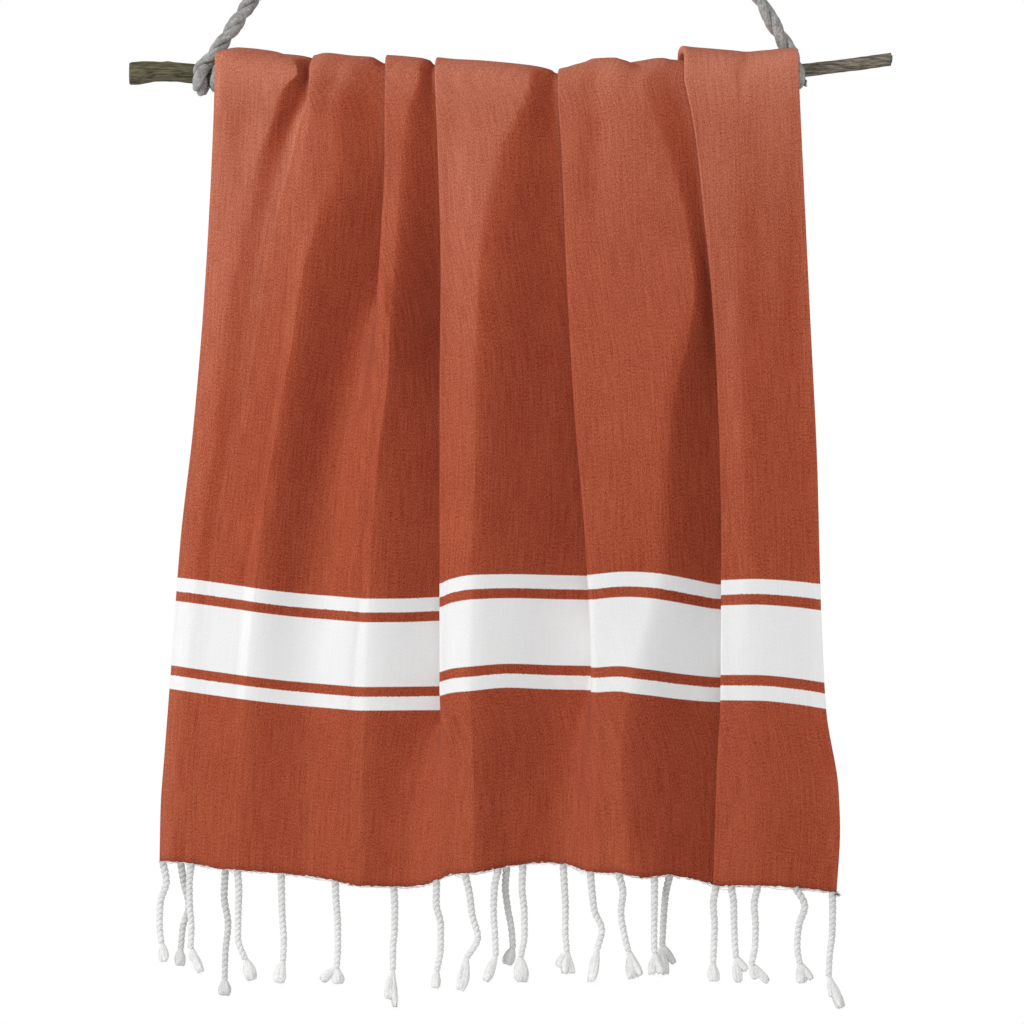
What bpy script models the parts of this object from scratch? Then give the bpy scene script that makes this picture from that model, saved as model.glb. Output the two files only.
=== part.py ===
"""A hammam towel hung over a rough branch rod that two ropes hold up.

Metres, +Z up, seen from -Y. The origin is where the left rope's eye bears on what holds it. The tables
below are read off a front view in steps: x counts steps to the right and y counts steps down in that
view, and `out` is steps in front of the rod's axis. STEP turns them into metres.
"""

from math import pi, radians

import bpy
import numpy as np

# Driving dimensions, in metres.
ROD_LENGTH = 0.856
ROD_SPAN = 764  # steps along the rod in the front view
STEP = ROD_LENGTH / ROD_SPAN
ORIGIN_X, ORIGIN_Y = 286, -71.9  # the left eye's bearing point, in steps

TOWEL_LENGTH = 1.73  # from hem to hem, without the fringes
CLOTH_THICK = 0.0015
ROPE_THICK = 0.0165
ROPE_GAP = 0.001  # between a rope's windings and the rod
TASSEL_WIDE = 0.0065
HEADING_TALL = 0.004  # the frayed strip that the tassels grow from
HEM_MARGIN = 0.006  # from a hem's end to its outermost tassel
ROOT_CLEAR = 0.0012  # kept free of other cuts beside a tassel's root
FRINGE_DROP = 0.0008  # from a hem down to its fringe
ROPE_SPACING = 0.008  # between the points of a rope's line
HEM_SAMPLES, ROUTE_SAMPLES = 4000, 2000  # points that a hem and a rope's route are measured at

CREST_AT, TROUGH_AT = 0.4, 0.8  # how far along its panel the crest lies, and the trough after it
TROUGH_GAP = 2  # steps from the trough to the fold's edge
STEEP = 0.5  # how much of its slope a panel keeps beside a flat fold

# How finely each stretch is cut.
PANEL_CELLS, TURN_CELLS, FLAP_CELLS = 5, 3, 1
FRONT_CELLS, ARCH_CELLS, BACK_CELLS = 14, 6, 5
CROWDING = 1.5  # how much closer the rows lie near the rod than near the hem; 1 is evenly
ROD_SIDES = 12

# The rod: its axis and radius at stations along it.
ROD = ("x y radius", [
    (129, 73.0, 11.0), (140, 72.2, 11.3), (148, 71.4, 10.7), (154, 71.0, 9.9), (175, 71.6, 9.5),
    (205, 74.0, 9.5), (300, 75.5, 9.2), (400, 79.0, 8.8), (500, 83.0, 8.3), (585, 85.5, 8.0),
    (660, 83.0, 7.6), (730, 77.0, 7.0), (803, 69.8, 6.6), (850, 64.2, 6.3), (893, 58.6, 6.2),
])

# The front's folds, each a pleat that opens into a soft wave lower down. `edge` is the fold's left edge,
# `flap` the length turned under it, `turn` how far the cloth turns back, `radius` the roundness of its two
# bends and `back` how far in front of the rod's axis the cloth arrives behind it.
FOLD = "y edge flap turn radius back"
FRONT_FOLDS = [
    (FOLD, [(55, 312, 12, 180, 1.6, 14.5), (75, 310, 9, 170, 1.8, 16), (97, 308, 2.5, 125, 2, 17),
            (108, 307.5, 2, 80, 3.5, 17.3), (120, 306, 5, 36, 9, 18), (160, 300, 8, 15, 22, 21.8),
            (245, 286, 14, 9, 42, 24.6), (300, 281, 18, 8, 50, 24.8), (400, 268, 20, 7, 58, 25.2),
            (560, 242, 20, 6.5, 60, 25.2), (870, 214, 20, 6, 60, 25)]),
    (FOLD, [(55, 386, 33, 180, 1.6, 12.5), (112, 385, 33, 178, 1.7, 13), (163, 385, 32, 172, 2, 12),
            (224, 382, 26, 160, 3, 9), (275, 379, 18, 130, 5, 9), (316, 376, 14, 95, 9, 9.5),
            (371, 372, 12, 66, 12, 10.5), (443, 363, 14, 42, 16, 13), (520, 356, 16.5, 25, 24, 16),
            (700, 342, 22, 13, 44, 20), (870, 336, 24, 10, 50, 22)]),
    (FOLD, [(56, 434, 31, 180, 1.6, 12), (150, 438, 32, 178, 1.7, 13), (275, 441, 32, 168, 2, 12.5),
            (400, 440, 32, 160, 2.4, 12), (580, 440, 32, 158, 2.6, 12), (685, 440, 28, 152, 3, 13),
            (718, 441, 15, 110, 6.5, 15), (748, 441, 14, 62, 12, 17), (785, 440, 16, 38, 20, 20),
            (830, 438, 20, 28, 26, 22), (870, 437, 22, 24, 28, 23)]),
    (FOLD, [(68, 563, 31, 180, 1.6, 11), (85, 558, 31, 179, 1.6, 11.5), (156, 562, 32, 176, 1.8, 11),
            (282, 567, 32, 170, 2.2, 9.5), (420, 575, 30, 160, 3, 9.5), (541, 585, 26, 145, 4, 10.5),
            (667, 591, 17, 105, 6, 14), (760, 590, 18, 60, 13, 17), (870, 588, 18, 34, 22, 20)]),
    (FOLD, [(46, 675, 33, 180, 1.7, 14), (68, 681, 33, 180, 1.7, 15), (93, 687, 33, 178, 1.7, 16.5),
            (135, 695, 34, 175, 1.8, 18), (219, 704, 35, 172, 2, 17.5), (293, 711.5, 36, 170, 2, 15.5),
            (360, 716, 37, 168, 2.2, 11.5), (541, 721, 38, 166, 2.2, 11), (700, 720, 40, 165, 2.2, 14),
            (756, 717, 42, 165, 2.2, 15), (882, 713, 44, 165, 2.2, 16)]),
]

# The front's selvedges, and the crest of the panel that starts at the left selvedge and at each fold.
EDGE = "y x out"
FRONT_LEFT = (EDGE, [(47, 216, 29), (91, 215, 28.5), (144, 213, 25), (290, 205, 20), (425, 194, 19),
                     (540, 181, 19), (674, 171, 20), (752, 165, 20), (808, 161, 21), (861, 160, 21)])
FRONT_RIGHT = (EDGE, [(47, 797, 28), (93, 799, 27.5), (177, 803, 25), (325, 810, 26), (461, 816.5, 27),
                      (611, 820.5, 27.5), (709, 825.5, 28), (790, 838, 27), (829, 839.5, 26),
                      (891, 836, 26)])
CREST = "y x out sharp"
FRONT_CRESTS = [
    (CREST, [(55, 299, 28.6, 0), (73, 298, 28.6, 0), (84, 287, 28.4, 0), (96, 278, 27.8, 0),
             (120, 272, 26.9, 0), (160, 256, 26.7, 0), (245, 240, 26.1, 0), (300, 231, 26.1, 0),
             (400, 220, 26.2, 0), (560, 200, 25.6, 0), (870, 172, 25, 0)]),
    (CREST, [(55, 350, 20.5, 0), (78, 342, 22, 0), (97, 332, 23.3, 0), (120, 330, 23.7, 0),
             (163, 334, 25, 0), (198, 326, 27.8, 0), (230, 316, 31, 0.1), (275, 304, 33.5, 0.25),
             (350, 292, 36, 0.25), (460, 272, 37, 0.1), (550, 260, 36, 0.1), (700, 247, 32, 0),
             (870, 240, 29, 0)]),
    (CREST, [(56, 422, 20, 0), (80, 418, 21, 0), (112, 407, 22, 0), (163, 402, 25, 0),
             (224, 398, 32, 0.2), (275, 395, 39.5, 0.4), (316, 391, 43, 0.5), (371, 389, 37.5, 0.8),
             (443, 380, 33.5, 0.8), (520, 374, 30.5, 0.6), (700, 366, 30, 0.5), (870, 362, 29, 0.5)]),
    (CREST, [(60, 536, 20, 0), (100, 522, 23, 0), (145, 500, 28, 0.2), (198, 490, 33, 0.3),
             (250, 483, 38, 0.4), (303, 480, 42, 0.5), (400, 478, 46, 0.5), (580, 474, 47, 0.6),
             (700, 472, 47, 0.7), (748, 474, 47.5, 0.8), (790, 475, 45, 0.8), (870, 477, 42, 0.8)]),
    (CREST, [(60, 630, 21, 0), (150, 664, 24, 0), (219, 684, 23.5, 0), (293, 693, 26.5, 0.1),
             (340, 686, 31, 0.5), (407, 670, 35, 0.9), (487, 665, 37.5, 0.9), (573, 660, 40, 0.8),
             (667, 636, 48, 0.5), (760, 622, 50, 0.5), (870, 634, 43, 0.5)]),
    (CREST, [(46, 735, 23, 0), (150, 742, 28, 0), (250, 738, 31.5, 0), (400, 742, 33.5, 0),
             (520, 747, 34.5, 0), (700, 752, 35, 0), (870, 758, 35, 0)]),
]

# The back, which hangs plainly and shorter, narrow enough to stay behind the front.
BACK_FOLDS = [
    (FOLD, [(56, 314, 12, 180, 1.6, 15), (738, 300, 12, 150, 2, 14)]),
    (FOLD, [(56, 386, 33, 180, 1.6, 12.5), (738, 378, 28, 160, 2.2, 14)]),
    (FOLD, [(56, 436, 31, 180, 1.6, 12), (738, 452, 27, 165, 2.2, 14)]),
    (FOLD, [(56, 560, 31, 180, 1.6, 11), (738, 566, 27, 165, 2.2, 14)]),
    (FOLD, [(56, 678, 33, 180, 1.7, 15.5), (738, 690, 28, 165, 2.2, 14)]),
]
BACK_LEFT = (EDGE, [(56, 238, 29), (95, 237, 28), (738, 196, 20)])
BACK_RIGHT = (EDGE, [(56, 769, 24), (738, 806, 22)])
BACK_CRESTS = [
    (CREST, [(56, 285, 28, 0), (100, 280, 27, 0), (738, 262, 25, 0)]),
    (CREST, [(56, 350, 20.5, 0), (738, 340, 27, 0)]),
    (CREST, [(56, 423, 20, 0), (738, 412, 28, 0)]),
    (CREST, [(56, 530, 20, 0), (738, 505, 30, 0.5)]),
    (CREST, [(56, 620, 20, 0), (738, 630, 30, 0.5)]),
    (CREST, [(56, 735, 24, 0), (738, 745, 30, 0)]),
]

# The top edge of the cloth over the rod, one line for each panel. Past the next fold's edge the line runs
# on lower, hidden under that fold.
TOP_LINE = "x y"
TOPS = [
    (TOP_LINE, [(216, 47.5), (243, 48.3), (277, 50.6), (303.5, 55.5), (307.5, 57.5), (311, 60), (324, 61)]),
    (TOP_LINE, [(312, 54.5), (320, 52.5), (343, 55), (368, 56.5), (383, 63), (420, 68)]),
    (TOP_LINE, [(385, 54.5), (404, 56.5), (427, 60), (433, 64.5), (466, 67)]),
    (TOP_LINE, [(434.7, 56.5), (455, 59), (486, 60.6), (520, 64), (549, 69), (556, 73.4),
                (595, 74.7)]),
    (TOP_LINE, [(563, 68), (574, 64.7), (588, 61.6), (601, 57.4), (618, 57), (628, 58.4), (638, 63.5),
                (651, 60.5), (668, 57.4), (675, 59), (713, 62)]),
    (TOP_LINE, [(675, 43.7), (689, 45.8), (710, 48), (731, 50.3), (748, 51.4), (769, 50), (784, 49),
                (797, 48)]),
]
# Degrees up from the front at which the cloth starts to shift from the front's columns to the back's, and
# how many more this takes, at the left and right selvedges. It keeps the selvedges clear of the ropes.
SHIFT_FROM, SHIFT_OVER = (8, 60), (66, 70)
# How square the cloth's top is: 1 is round, and less is squarer.
SHOULDER = ("x power", [(216, 0.25), (240, 0.5), (290, 1), (750, 1), (797, 0.45)])

SPRING, LOW = 80.0, 875.0  # near the rod's axis and near the front hem: the heights that columns start from

# The front hem's height across the cloth.
FRONT_HEM = ("x y", [(160, 861), (192, 863), (219, 868), (264, 871.5), (320, 877.5), (364, 885.5),
                     (409, 886.5), (431, 882.5), (449, 874.5), (480, 871), (515, 864.5), (541, 862.5),
                     (564, 864), (587, 870.5), (623, 873), (646, 877), (664, 874.5), (697, 879.5),
                     (717, 885), (760, 885), (794, 887), (838, 892)])

# The front's tassels: x at the root, at each quarter of the cord and where its puff joins on, y at the
# join, x and y at the tip, and how far behind the hem the tassel hangs.
FRONT_TASSELS = ("root quarter half three_quarters join join_y tip end behind", [
    (163, 166.8, 161, 160, 162, 943, 165, 961, 0), (181, 184.2, 189, 183, 181, 949, 180, 965, 9),
    (192, 189.8, 190.3, 192, 191, 948, 202, 971, 0), (226, 224.5, 228.4, 225.7, 225, 980, 225, 995, 9),
    (238, 239.5, 238.8, 238.6, 246, 959, 252, 979, 0), (281.5, 282, 282.7, 284.2, 283.4, 961, 280, 982, 0),
    (335.6, 336.6, 338.2, 338.3, 337, 968, 330, 983, 0), (394, 395, 394.8, 393.2, 393, 970, 393, 1005, 0),
    (436.8, 436.4, 441, 440.8, 437, 970, 436, 987, 0), (465, 469.7, 472.6, 478, 466.5, 957, 461, 988, 0),
    (498.7, 494.3, 493.6, 495, 496, 955, 486, 980, 0), (506.8, 505.3, 507.5, 511.3, 513, 948, 507, 964, 9),
    (523, 522, 524.2, 524.5, 520.5, 957, 521, 981, 0), (563, 564.3, 565.4, 565.2, 567, 952, 565, 973, 0),
    (590, 591.7, 594.1, 601.6, 597, 948, 590, 980, 0), (618, 622.5, 620.5, 623.4, 628, 950, 634, 977, 0),
    (654, 654, 653.8, 653.6, 654, 952, 655, 973, 0), (669.5, 665.6, 663.9, 662.8, 662, 946, 665, 973, 9),
    (715.8, 712.6, 714, 713.4, 712.5, 962, 714, 980, 0), (730, 733, 733.4, 734, 735.5, 957, 741, 981, 0),
    (757.3, 753.5, 754.8, 754.3, 750.5, 964, 763, 982, 0),
    (794.5, 804, 798.2, 796.5, 799, 963, 804, 982, 0), (831.7, 832, 831.5, 829, 828, 976, 841, 1007, 0),
])
BACK_TASSELS = 20
BACK_CORD_LONG, BACK_PUFF_LONG = 80, 20  # steps
# Rings down a tassel: how far down its cord, how far down its puff, and how wide it is there.
TASSEL_RINGS = ("cord puff wide", [(0.25, 0, 1), (0.5, 0, 1), (0.75, 0, 1), (1, 0, 1), (1, 0.6, 1.8),
                                   (1, 1, 0.8)])

# The ropes: the windings round the rod by the angle up from the front, then the taut run to the eye.
WINDING = "angle x"
LEFT_WINDING = (WINDING, [(-530, 232), (-450, 219), (-360, 217), (-315, 226), (-270, 234), (-180, 216),
                          (-90, 200), (0, 200), (45, 206)])
RIGHT_WINDING = (WINDING, [(20, 794), (0, 796.5), (-90, 799), (-180, 798.5)])
RUN = "x y out"
LEFT_RUN = (RUN, [(212.5, 57, 9.5), (219.5, 46.5, 5), (235, 24, 2), (251, 0, 0), (266, -22, 0)])
RIGHT_RUN = (RUN, [(795, 58, -16.5), (788, 46, -17), (775, 24, -13), (761.5, 0, -7), (749, -22, -2)])
EYE = "along aside out"
EYE_RING = (EYE, [(14, 2, 0), (26, 12, 0), (38, 19, 0), (50, 18.5, 0), (59, 11.5, 0), (62.5, 0, 0),
                  (59, -11.5, 0), (50, -18.5, 0), (38, -19, 0), (26, -16.5, 4), (14, -12.5, 10),
                  (2, -6, 16), (-10, -1, 17.8), (-24, 0, 17.8)])
EYE_LEAN = 29  # degrees from upright that the taut runs lean, towards the middle

COLOURS = {
    "rust": (0.46, 0.085, 0.035, 1.0),
    "off_white": (0.75, 0.74, 0.71, 1.0),
    "bark": (0.16, 0.13, 0.075, 1.0),
    "grey_cotton": (0.36, 0.36, 0.35, 1.0),
}


def read(table, column):
    """One named column of a table."""
    names, rows = table
    return np.array([row[names.split().index(column)] for row in rows], float)


def smooth(at, knots, values):
    """A curve through the values that never overshoots them, level beyond its two ends."""
    at = np.clip(at, knots[0], knots[-1])
    gap = np.diff(knots)
    rise = np.diff(values) / gap
    slope = np.concatenate((rise[:1], np.zeros(len(rise) - 1), rise[-1:]))
    if len(rise) > 1:
        before, after = rise[:-1], rise[1:]
        same_way = before * after > 0
        weights = gap[:-1] + 2 * gap[1:], 2 * gap[:-1] + gap[1:]
        safe = np.where(same_way, before, 1), np.where(same_way, after, 1)
        mean = (weights[0] + weights[1]) / (weights[0] / safe[0] + weights[1] / safe[1])
        slope[1:-1] = np.where(same_way, mean, 0)
    i = np.clip(np.searchsorted(knots, at) - 1, 0, len(gap) - 1)
    return hermite((at - knots[i]) / gap[i], values[i], values[i + 1], slope[i] * gap[i],
                   slope[i + 1] * gap[i])


def hermite(t, start, end, start_slope, end_slope):
    """The cubic from start to end with these slopes."""
    return ((1 + 2 * t) * (1 - t) ** 2 * start + t * (1 - t) ** 2 * start_slope
            + t * t * (3 - 2 * t) * end + t * t * (t - 1) * end_slope)


def at_height(table, column, y):
    """A column of a fold's, crest's or selvedge's table at the heights y."""
    return smooth(y, read(table, "y"), read(table, column))


def place(x, y, out):
    """Steps to metres, in the part's own axes."""
    return np.stack(((x - ORIGIN_X) * STEP, -out * STEP, (ORIGIN_Y - y) * STEP), -1)


def fold_start(fold, y):
    """Where the cloth arrives behind a fold, and where it leaves on the fold's front: x and out twice."""
    flap, turn, radius, back = (at_height(fold, name, y) for name in ("flap", "turn", "radius", "back"))
    turn = np.radians(turn)
    wide = 2 * radius * np.sin(turn) + flap * np.cos(turn)
    deep = 2 * radius * (1 - np.cos(turn)) + flap * np.sin(turn)
    end_x = at_height(fold, "edge", y) + radius * np.sin(np.minimum(turn, pi / 2))
    return end_x - wide, back, end_x, back + deep


def fold_stretch(fold, y, part, t):
    """Points on one stretch of a fold: its first bend, its flap or its second bend."""
    flap, turn, radius = (at_height(fold, name, y) for name in ("flap", "turn", "radius"))
    turn = np.radians(turn)
    x, out, end_x, end_out = fold_start(fold, y)
    if part == "first":
        return x + radius * np.sin(turn * t), out + radius * (1 - np.cos(turn * t))
    if part == "second":
        left = turn * (1 - t)
        return end_x - radius * np.sin(left), end_out - radius * (1 - np.cos(left))
    bend_x, bend_out = x + radius * np.sin(turn), out + radius * (1 - np.cos(turn))
    return bend_x + flap * t * np.cos(turn), bend_out + flap * t * np.sin(turn)


def panel_stretch(start, crest, end, edge_x, steep, y, t):
    """Points across a panel: a soft rise from its start to its crest, a fall to the trough left of the next
    fold's edge, and a level run behind that fold to where it starts. `sharp` is how suddenly the fall
    begins, and `steep` how much of its slope is left at the trough."""
    (x0, out0), (x3, out3) = start, end
    x1, out1, sharp = (at_height(crest, name, y) for name in ("x", "out", "sharp"))
    x2 = np.minimum(x3, edge_x) - TROUGH_GAP
    x = np.where(t < CREST_AT, x0 + (x1 - x0) * t / CREST_AT,
                 np.where(t < TROUGH_AT, x1 + (x2 - x1) * (t - CREST_AT) / (TROUGH_AT - CREST_AT),
                          x2 + (x3 - x2) * (t - TROUGH_AT) / (1 - TROUGH_AT)))
    rise, fall = np.clip(t / CREST_AT, 0, 1), np.clip((t - CREST_AT) / (TROUGH_AT - CREST_AT), 0, 1)
    drop = out3 - out1
    return x, hermite(rise, out0, out1, 0, 0) + hermite(fall, 0, drop, sharp * drop, steep * drop)


def stretches(folds):
    """The stretches across the cloth from its left selvedge: kind, number and how far along, per column."""
    kinds, numbers, along = [], [], []

    def add(kind, number, cells, closed=False):
        kinds.extend([kind] * (cells + closed))
        numbers.extend([number] * (cells + closed))
        along.extend(np.arange(cells + closed) / cells)

    for number in range(len(folds)):
        add("panel", number, PANEL_CELLS)
        add("first", number, TURN_CELLS)
        add("flap", number, FLAP_CELLS)
        add("second", number, TURN_CELLS)
    add("panel", len(folds), PANEL_CELLS, closed=True)
    return np.array(kinds), np.array(numbers), np.array(along)


def across(side, y):
    """x and out of every column of one side of the cloth, at the heights y (one column each)."""
    folds, left, right, crests = side
    kinds, numbers, along = stretches(folds)
    x, out = np.zeros_like(y), np.zeros_like(y)
    for number in range(len(folds) + 1):
        for kind in ("panel", "first", "flap", "second"):
            mine = (kinds == kind) & (numbers == number)
            if not mine.any():
                continue
            heights, t = y[:, mine], along[mine]
            if kind != "panel":
                x[:, mine], out[:, mine] = fold_stretch(folds[number], heights, kind, t)
                continue
            start = (at_height(left, "x", heights), at_height(left, "out", heights))
            if number:
                start = fold_start(folds[number - 1], heights)[2:]
            end = (at_height(right, "x", heights), at_height(right, "out", heights))
            edge_x, steep = np.inf, 0
            if number < len(folds):
                end = fold_start(folds[number], heights)[:2]
                edge_x = at_height(folds[number], "edge", heights)
                turn = np.radians(at_height(folds[number], "turn", heights))
                steep = STEEP * np.clip(-np.cos(turn), 0, 1)
            x[:, mine], out[:, mine] = panel_stretch(start, crests[number], end, edge_x, steep, heights, t)
    return x, out


def top_heights(x, out):
    """The height at which each column, at x and out, crosses over the rod. A fold climbs from its panel's
    hidden end to the next panel's line, in step with how far each of its layers stands out."""
    kinds, numbers, _ = stretches(FRONT_FOLDS)
    heights = np.zeros(len(x))
    for number, line in enumerate(TOPS):
        mine = (kinds == "panel") & (numbers == number)
        heights[mine] = smooth(x[mine], read(line, "x"), read(line, "y"))
    for number in range(len(FRONT_FOLDS)):
        fold = np.flatnonzero((kinds != "panel") & (numbers == number))
        first, last = fold[0], fold[-1] + 1
        hidden = read(TOPS[number], "y")[-1]
        share = (out[fold] - out[first]) / (out[last] - out[first])
        heights[fold] = hidden + (heights[last] - hidden) * share
    return heights


def towel_grid():
    """The cloth's middle surface, from the front hem over the rod to the back hem: rows of points."""
    front = (FRONT_FOLDS, FRONT_LEFT, FRONT_RIGHT, FRONT_CRESTS)
    back = (BACK_FOLDS, BACK_LEFT, BACK_RIGHT, BACK_CRESTS)
    columns = len(stretches(FRONT_FOLDS)[0])

    def axis_height(x):
        return smooth(x, read(ROD, "x"), read(ROD, "y"))

    def side_rows(side, hem_y, cells):
        spring = axis_height(across(side, np.full((1, columns), SPRING))[0])
        y = spring + (hem_y - spring) * np.linspace(1, 0, cells + 1)[:, None] ** CROWDING
        return (*across(side, y), y)

    def run(*rows):
        return np.linalg.norm(np.diff(place(*rows), axis=0), axis=2).sum(0)

    low = across(front, np.full((1, columns), LOW))[0]
    front_x, front_out, front_y = side_rows(front, smooth(low, read(FRONT_HEM, "x"), read(FRONT_HEM, "y")),
                                            FRONT_CELLS)
    top = top_heights(front_x[-1], front_out[-1])
    over_rod = pi * (front_out[-1] + front_y[-1] - top) / 2
    hidden = (TOWEL_LENGTH - run(front_x, front_out, front_y)) / STEP - over_rod
    column = np.arange(columns)
    back_hem = np.polyval(np.polyfit(column, front_y[-1] + hidden, 1), column)
    back_x, back_out, back_y = side_rows(back, back_hem, BACK_CELLS)
    angle = np.linspace(0, pi, ARCH_CELLS + 1)[1:-1, None]
    share = (np.degrees(angle) - np.linspace(*SHIFT_FROM, columns)) / np.linspace(*SHIFT_OVER, columns)
    share = np.clip(share, 0, 1)
    over = share * share * (3 - 2 * share)
    arch_x = front_x[-1] + (back_x[-1] - front_x[-1]) * over
    arch_out = np.where(angle < pi / 2, front_out[-1], back_out[-1]) * np.cos(angle)
    base = np.where(angle < pi / 2, front_y[-1], back_y[-1])
    power = smooth(front_x[-1], read(SHOULDER, "x"), read(SHOULDER, "power"))
    arch_y = base + (top - base) * np.sin(angle) ** power
    x = np.vstack((front_x, arch_x, back_x[::-1]))
    out = np.vstack((front_out, arch_out, -back_out[::-1]))
    y = np.vstack((front_y, arch_y, back_y[::-1]))
    return place(x, y, out)


def unit(vectors):
    return vectors / np.linalg.norm(vectors, axis=-1, keepdims=True)


def tangents(grid, axis):
    """Unit tangents along one axis of a grid, halving the angle at each point."""
    step = unit(np.diff(grid, axis=axis))
    pad = [(1, 1) if i == axis else (0, 0) for i in range(3)]
    step = np.pad(step, pad, mode="edge")
    cut = [slice(None)] * 3
    before, after = list(cut), list(cut)
    before[axis], after[axis] = slice(None, -1), slice(1, None)
    return unit(step[tuple(before)] + step[tuple(after)])


def sheet_solid(grid, thick):
    """A closed sheet of even thickness on a grid of points: its vertices and its faces. Both sides are cut
    into triangles along the same diagonals, so that they stay parallel where the cloth twists."""
    normal = unit(np.cross(tangents(grid, 1), tangents(grid, 0)))
    rows, columns = grid.shape[:2]
    count = rows * columns
    front, back = grid + normal * thick / 2, grid - normal * thick / 2
    index = np.arange(count).reshape(rows, columns)
    a, b, c, d = (part.ravel() for part in (index[:-1, :-1], index[:-1, 1:], index[1:, 1:], index[1:, :-1]))
    side = np.concatenate((np.stack((a, b, c), -1), np.stack((a, c, d), -1)))
    rim = np.concatenate((index[0, :-1], index[:-1, -1], index[-1, :0:-1], index[:0:-1, 0]))
    after = np.roll(rim, -1)
    edges = np.stack((after, rim, rim + count, after + count), -1)
    faces = [*side, *(side[:, ::-1] + count), *edges]
    return np.concatenate((front.reshape(-1, 3), back.reshape(-1, 3))), faces


def volume(points, faces):
    """The signed volume inside a closed mesh of quads and triangles, positive when its faces point out."""
    total = 0.0
    for face in faces:
        corners = points[list(face)]
        fan = np.cross(corners[1:-1], corners[2:])
        total += (fan @ corners[0]).sum() / 6
    return total


def make(name, points, faces, colour, smooth_shade=True):
    """One named object from points and faces, turned outwards, with its own material."""
    faces = [tuple(int(i) for i in face) for face in faces]
    if volume(points, faces) < 0:
        faces = [face[::-1] for face in faces]
    mesh = bpy.data.meshes.new(name)
    mesh.from_pydata([tuple(point) for point in points], [], faces)
    mesh.polygons.foreach_set("use_smooth", [smooth_shade] * len(mesh.polygons))
    obj = bpy.data.objects.new(name, mesh)
    bpy.context.collection.objects.link(obj)
    finish(obj, colour)
    return obj


def finish(obj, colour):
    """A plain Principled material in one of the part's colours."""
    material = bpy.data.materials.new(f"{obj.name}_{colour}")
    material.use_nodes = True
    shader = material.node_tree.nodes["Principled BSDF"]
    shader.inputs["Base Color"].default_value = COLOURS[colour]
    shader.inputs["Roughness"].default_value = 0.85
    shader.inputs["Metallic"].default_value = 0.0
    obj.data.materials.append(material)


def distances(line):
    """How far along a line of points each point lies."""
    return np.concatenate(([0], np.cumsum(np.linalg.norm(np.diff(line, axis=0), axis=1))))


def comb(hem, inwards, roots, paths):
    """A fringe: a thin heading strip under the hem, with a four-sided tassel grown from its underside at
    each root. `hem` holds the hem's points, `roots` distances along it, `paths` each tassel's centres."""
    run = distances(hem)
    half = TASSEL_WIDE / 2
    cuts = np.sort(np.concatenate((roots - half, roots + half)))
    keep = [at for at in run if not ((cuts[::2] - ROOT_CLEAR < at) & (at < cuts[1::2] + ROOT_CLEAR)).any()]
    stations = np.sort(np.concatenate((keep, cuts)))
    line = np.stack([np.interp(stations, run, hem[:, i]) for i in range(3)], -1)
    side = np.stack([np.interp(stations, run, inwards[:, i]) for i in range(3)], -1)
    side = unit(side) * CLOTH_THICK / 2
    high = line - [0, 0, FRINGE_DROP]
    low = high - [0, 0, HEADING_TALL]
    ring = np.stack((high - side, high + side, low + side, low - side), 1)
    points = list(ring.reshape(-1, 3))
    corner = np.arange(len(stations) * 4).reshape(-1, 4)
    grown = set(np.searchsorted(stations, cuts[::2]).tolist())
    faces = [tuple(corner[0, ::-1]), tuple(corner[-1])]
    tassels = iter(paths)
    for i in range(len(stations) - 1):
        here, there = corner[i], corner[i + 1]
        for a, b in ((0, 1), (1, 2), (3, 0)):
            faces.append((here[a], here[b], there[b], there[a]))
        if i not in grown:
            faces.append((here[2], here[3], there[3], there[2]))
            continue
        last = np.array((here[2], here[3], there[3], there[2]))
        base = np.array([points[k] for k in last])
        spread = base - base.mean(0)
        spread[:, 2] = 0
        for centre, wide in zip(next(tassels), read(TASSEL_RINGS, "wide")):
            first = len(points)
            points.extend(centre + spread * wide)
            new = np.arange(first, first + 4)
            for a, b in ((0, 1), (1, 2), (2, 3), (3, 0)):
                faces.append((last[a], last[b], new[b], new[a]))
            last = new
        faces.append(tuple(last))
    return np.array(points), faces


def hem_line(grid, row):
    """A hem's points, and the way through the cloth at each."""
    normal = unit(np.cross(tangents(grid, 1), tangents(grid, 0)))
    return grid[row], normal[row]


def front_fringe(grid):
    """The front's comb: each tassel leaves the hem where the table says, on the foremost layer."""
    hem, inwards = hem_line(grid, 0)
    run = distances(hem)
    fine = np.linspace(0, run[-1], HEM_SAMPLES)
    x, depth, z = (np.interp(fine, run, hem[:, i]) for i in range(3))
    cord, puff = read(TASSEL_RINGS, "cord"), read(TASSEL_RINGS, "puff")
    names = ("root", "quarter", "half", "three_quarters", "join", "join_y", "tip", "end", "behind")
    roots, paths = [], []
    for root, *swings, join, join_y, tip, end, behind in zip(*(read(FRONT_TASSELS, name) for name in names)):
        target = np.clip((root - ORIGIN_X) * STEP, x[0] + HEM_MARGIN, x[-1] - HEM_MARGIN)
        near = np.flatnonzero(np.abs(x - target) < STEP)
        best = near[np.argmin(depth[near])]
        roots.append(fine[best])
        path_x = smooth(cord, np.linspace(0, 1, 5), np.array([root, *swings, join])) + (tip - join) * puff
        top = ORIGIN_Y - (z[best] - HEADING_TALL) / STEP
        path_y = top + (join_y - top) * cord + (end - join_y) * puff
        out = behind * np.minimum(cord / cord[0], 1) + depth[best] / STEP
        paths.append(place(path_x, path_y, -out))
    order = np.argsort(roots)
    return comb(hem, inwards, np.array(roots)[order], [paths[i] for i in order])


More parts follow.
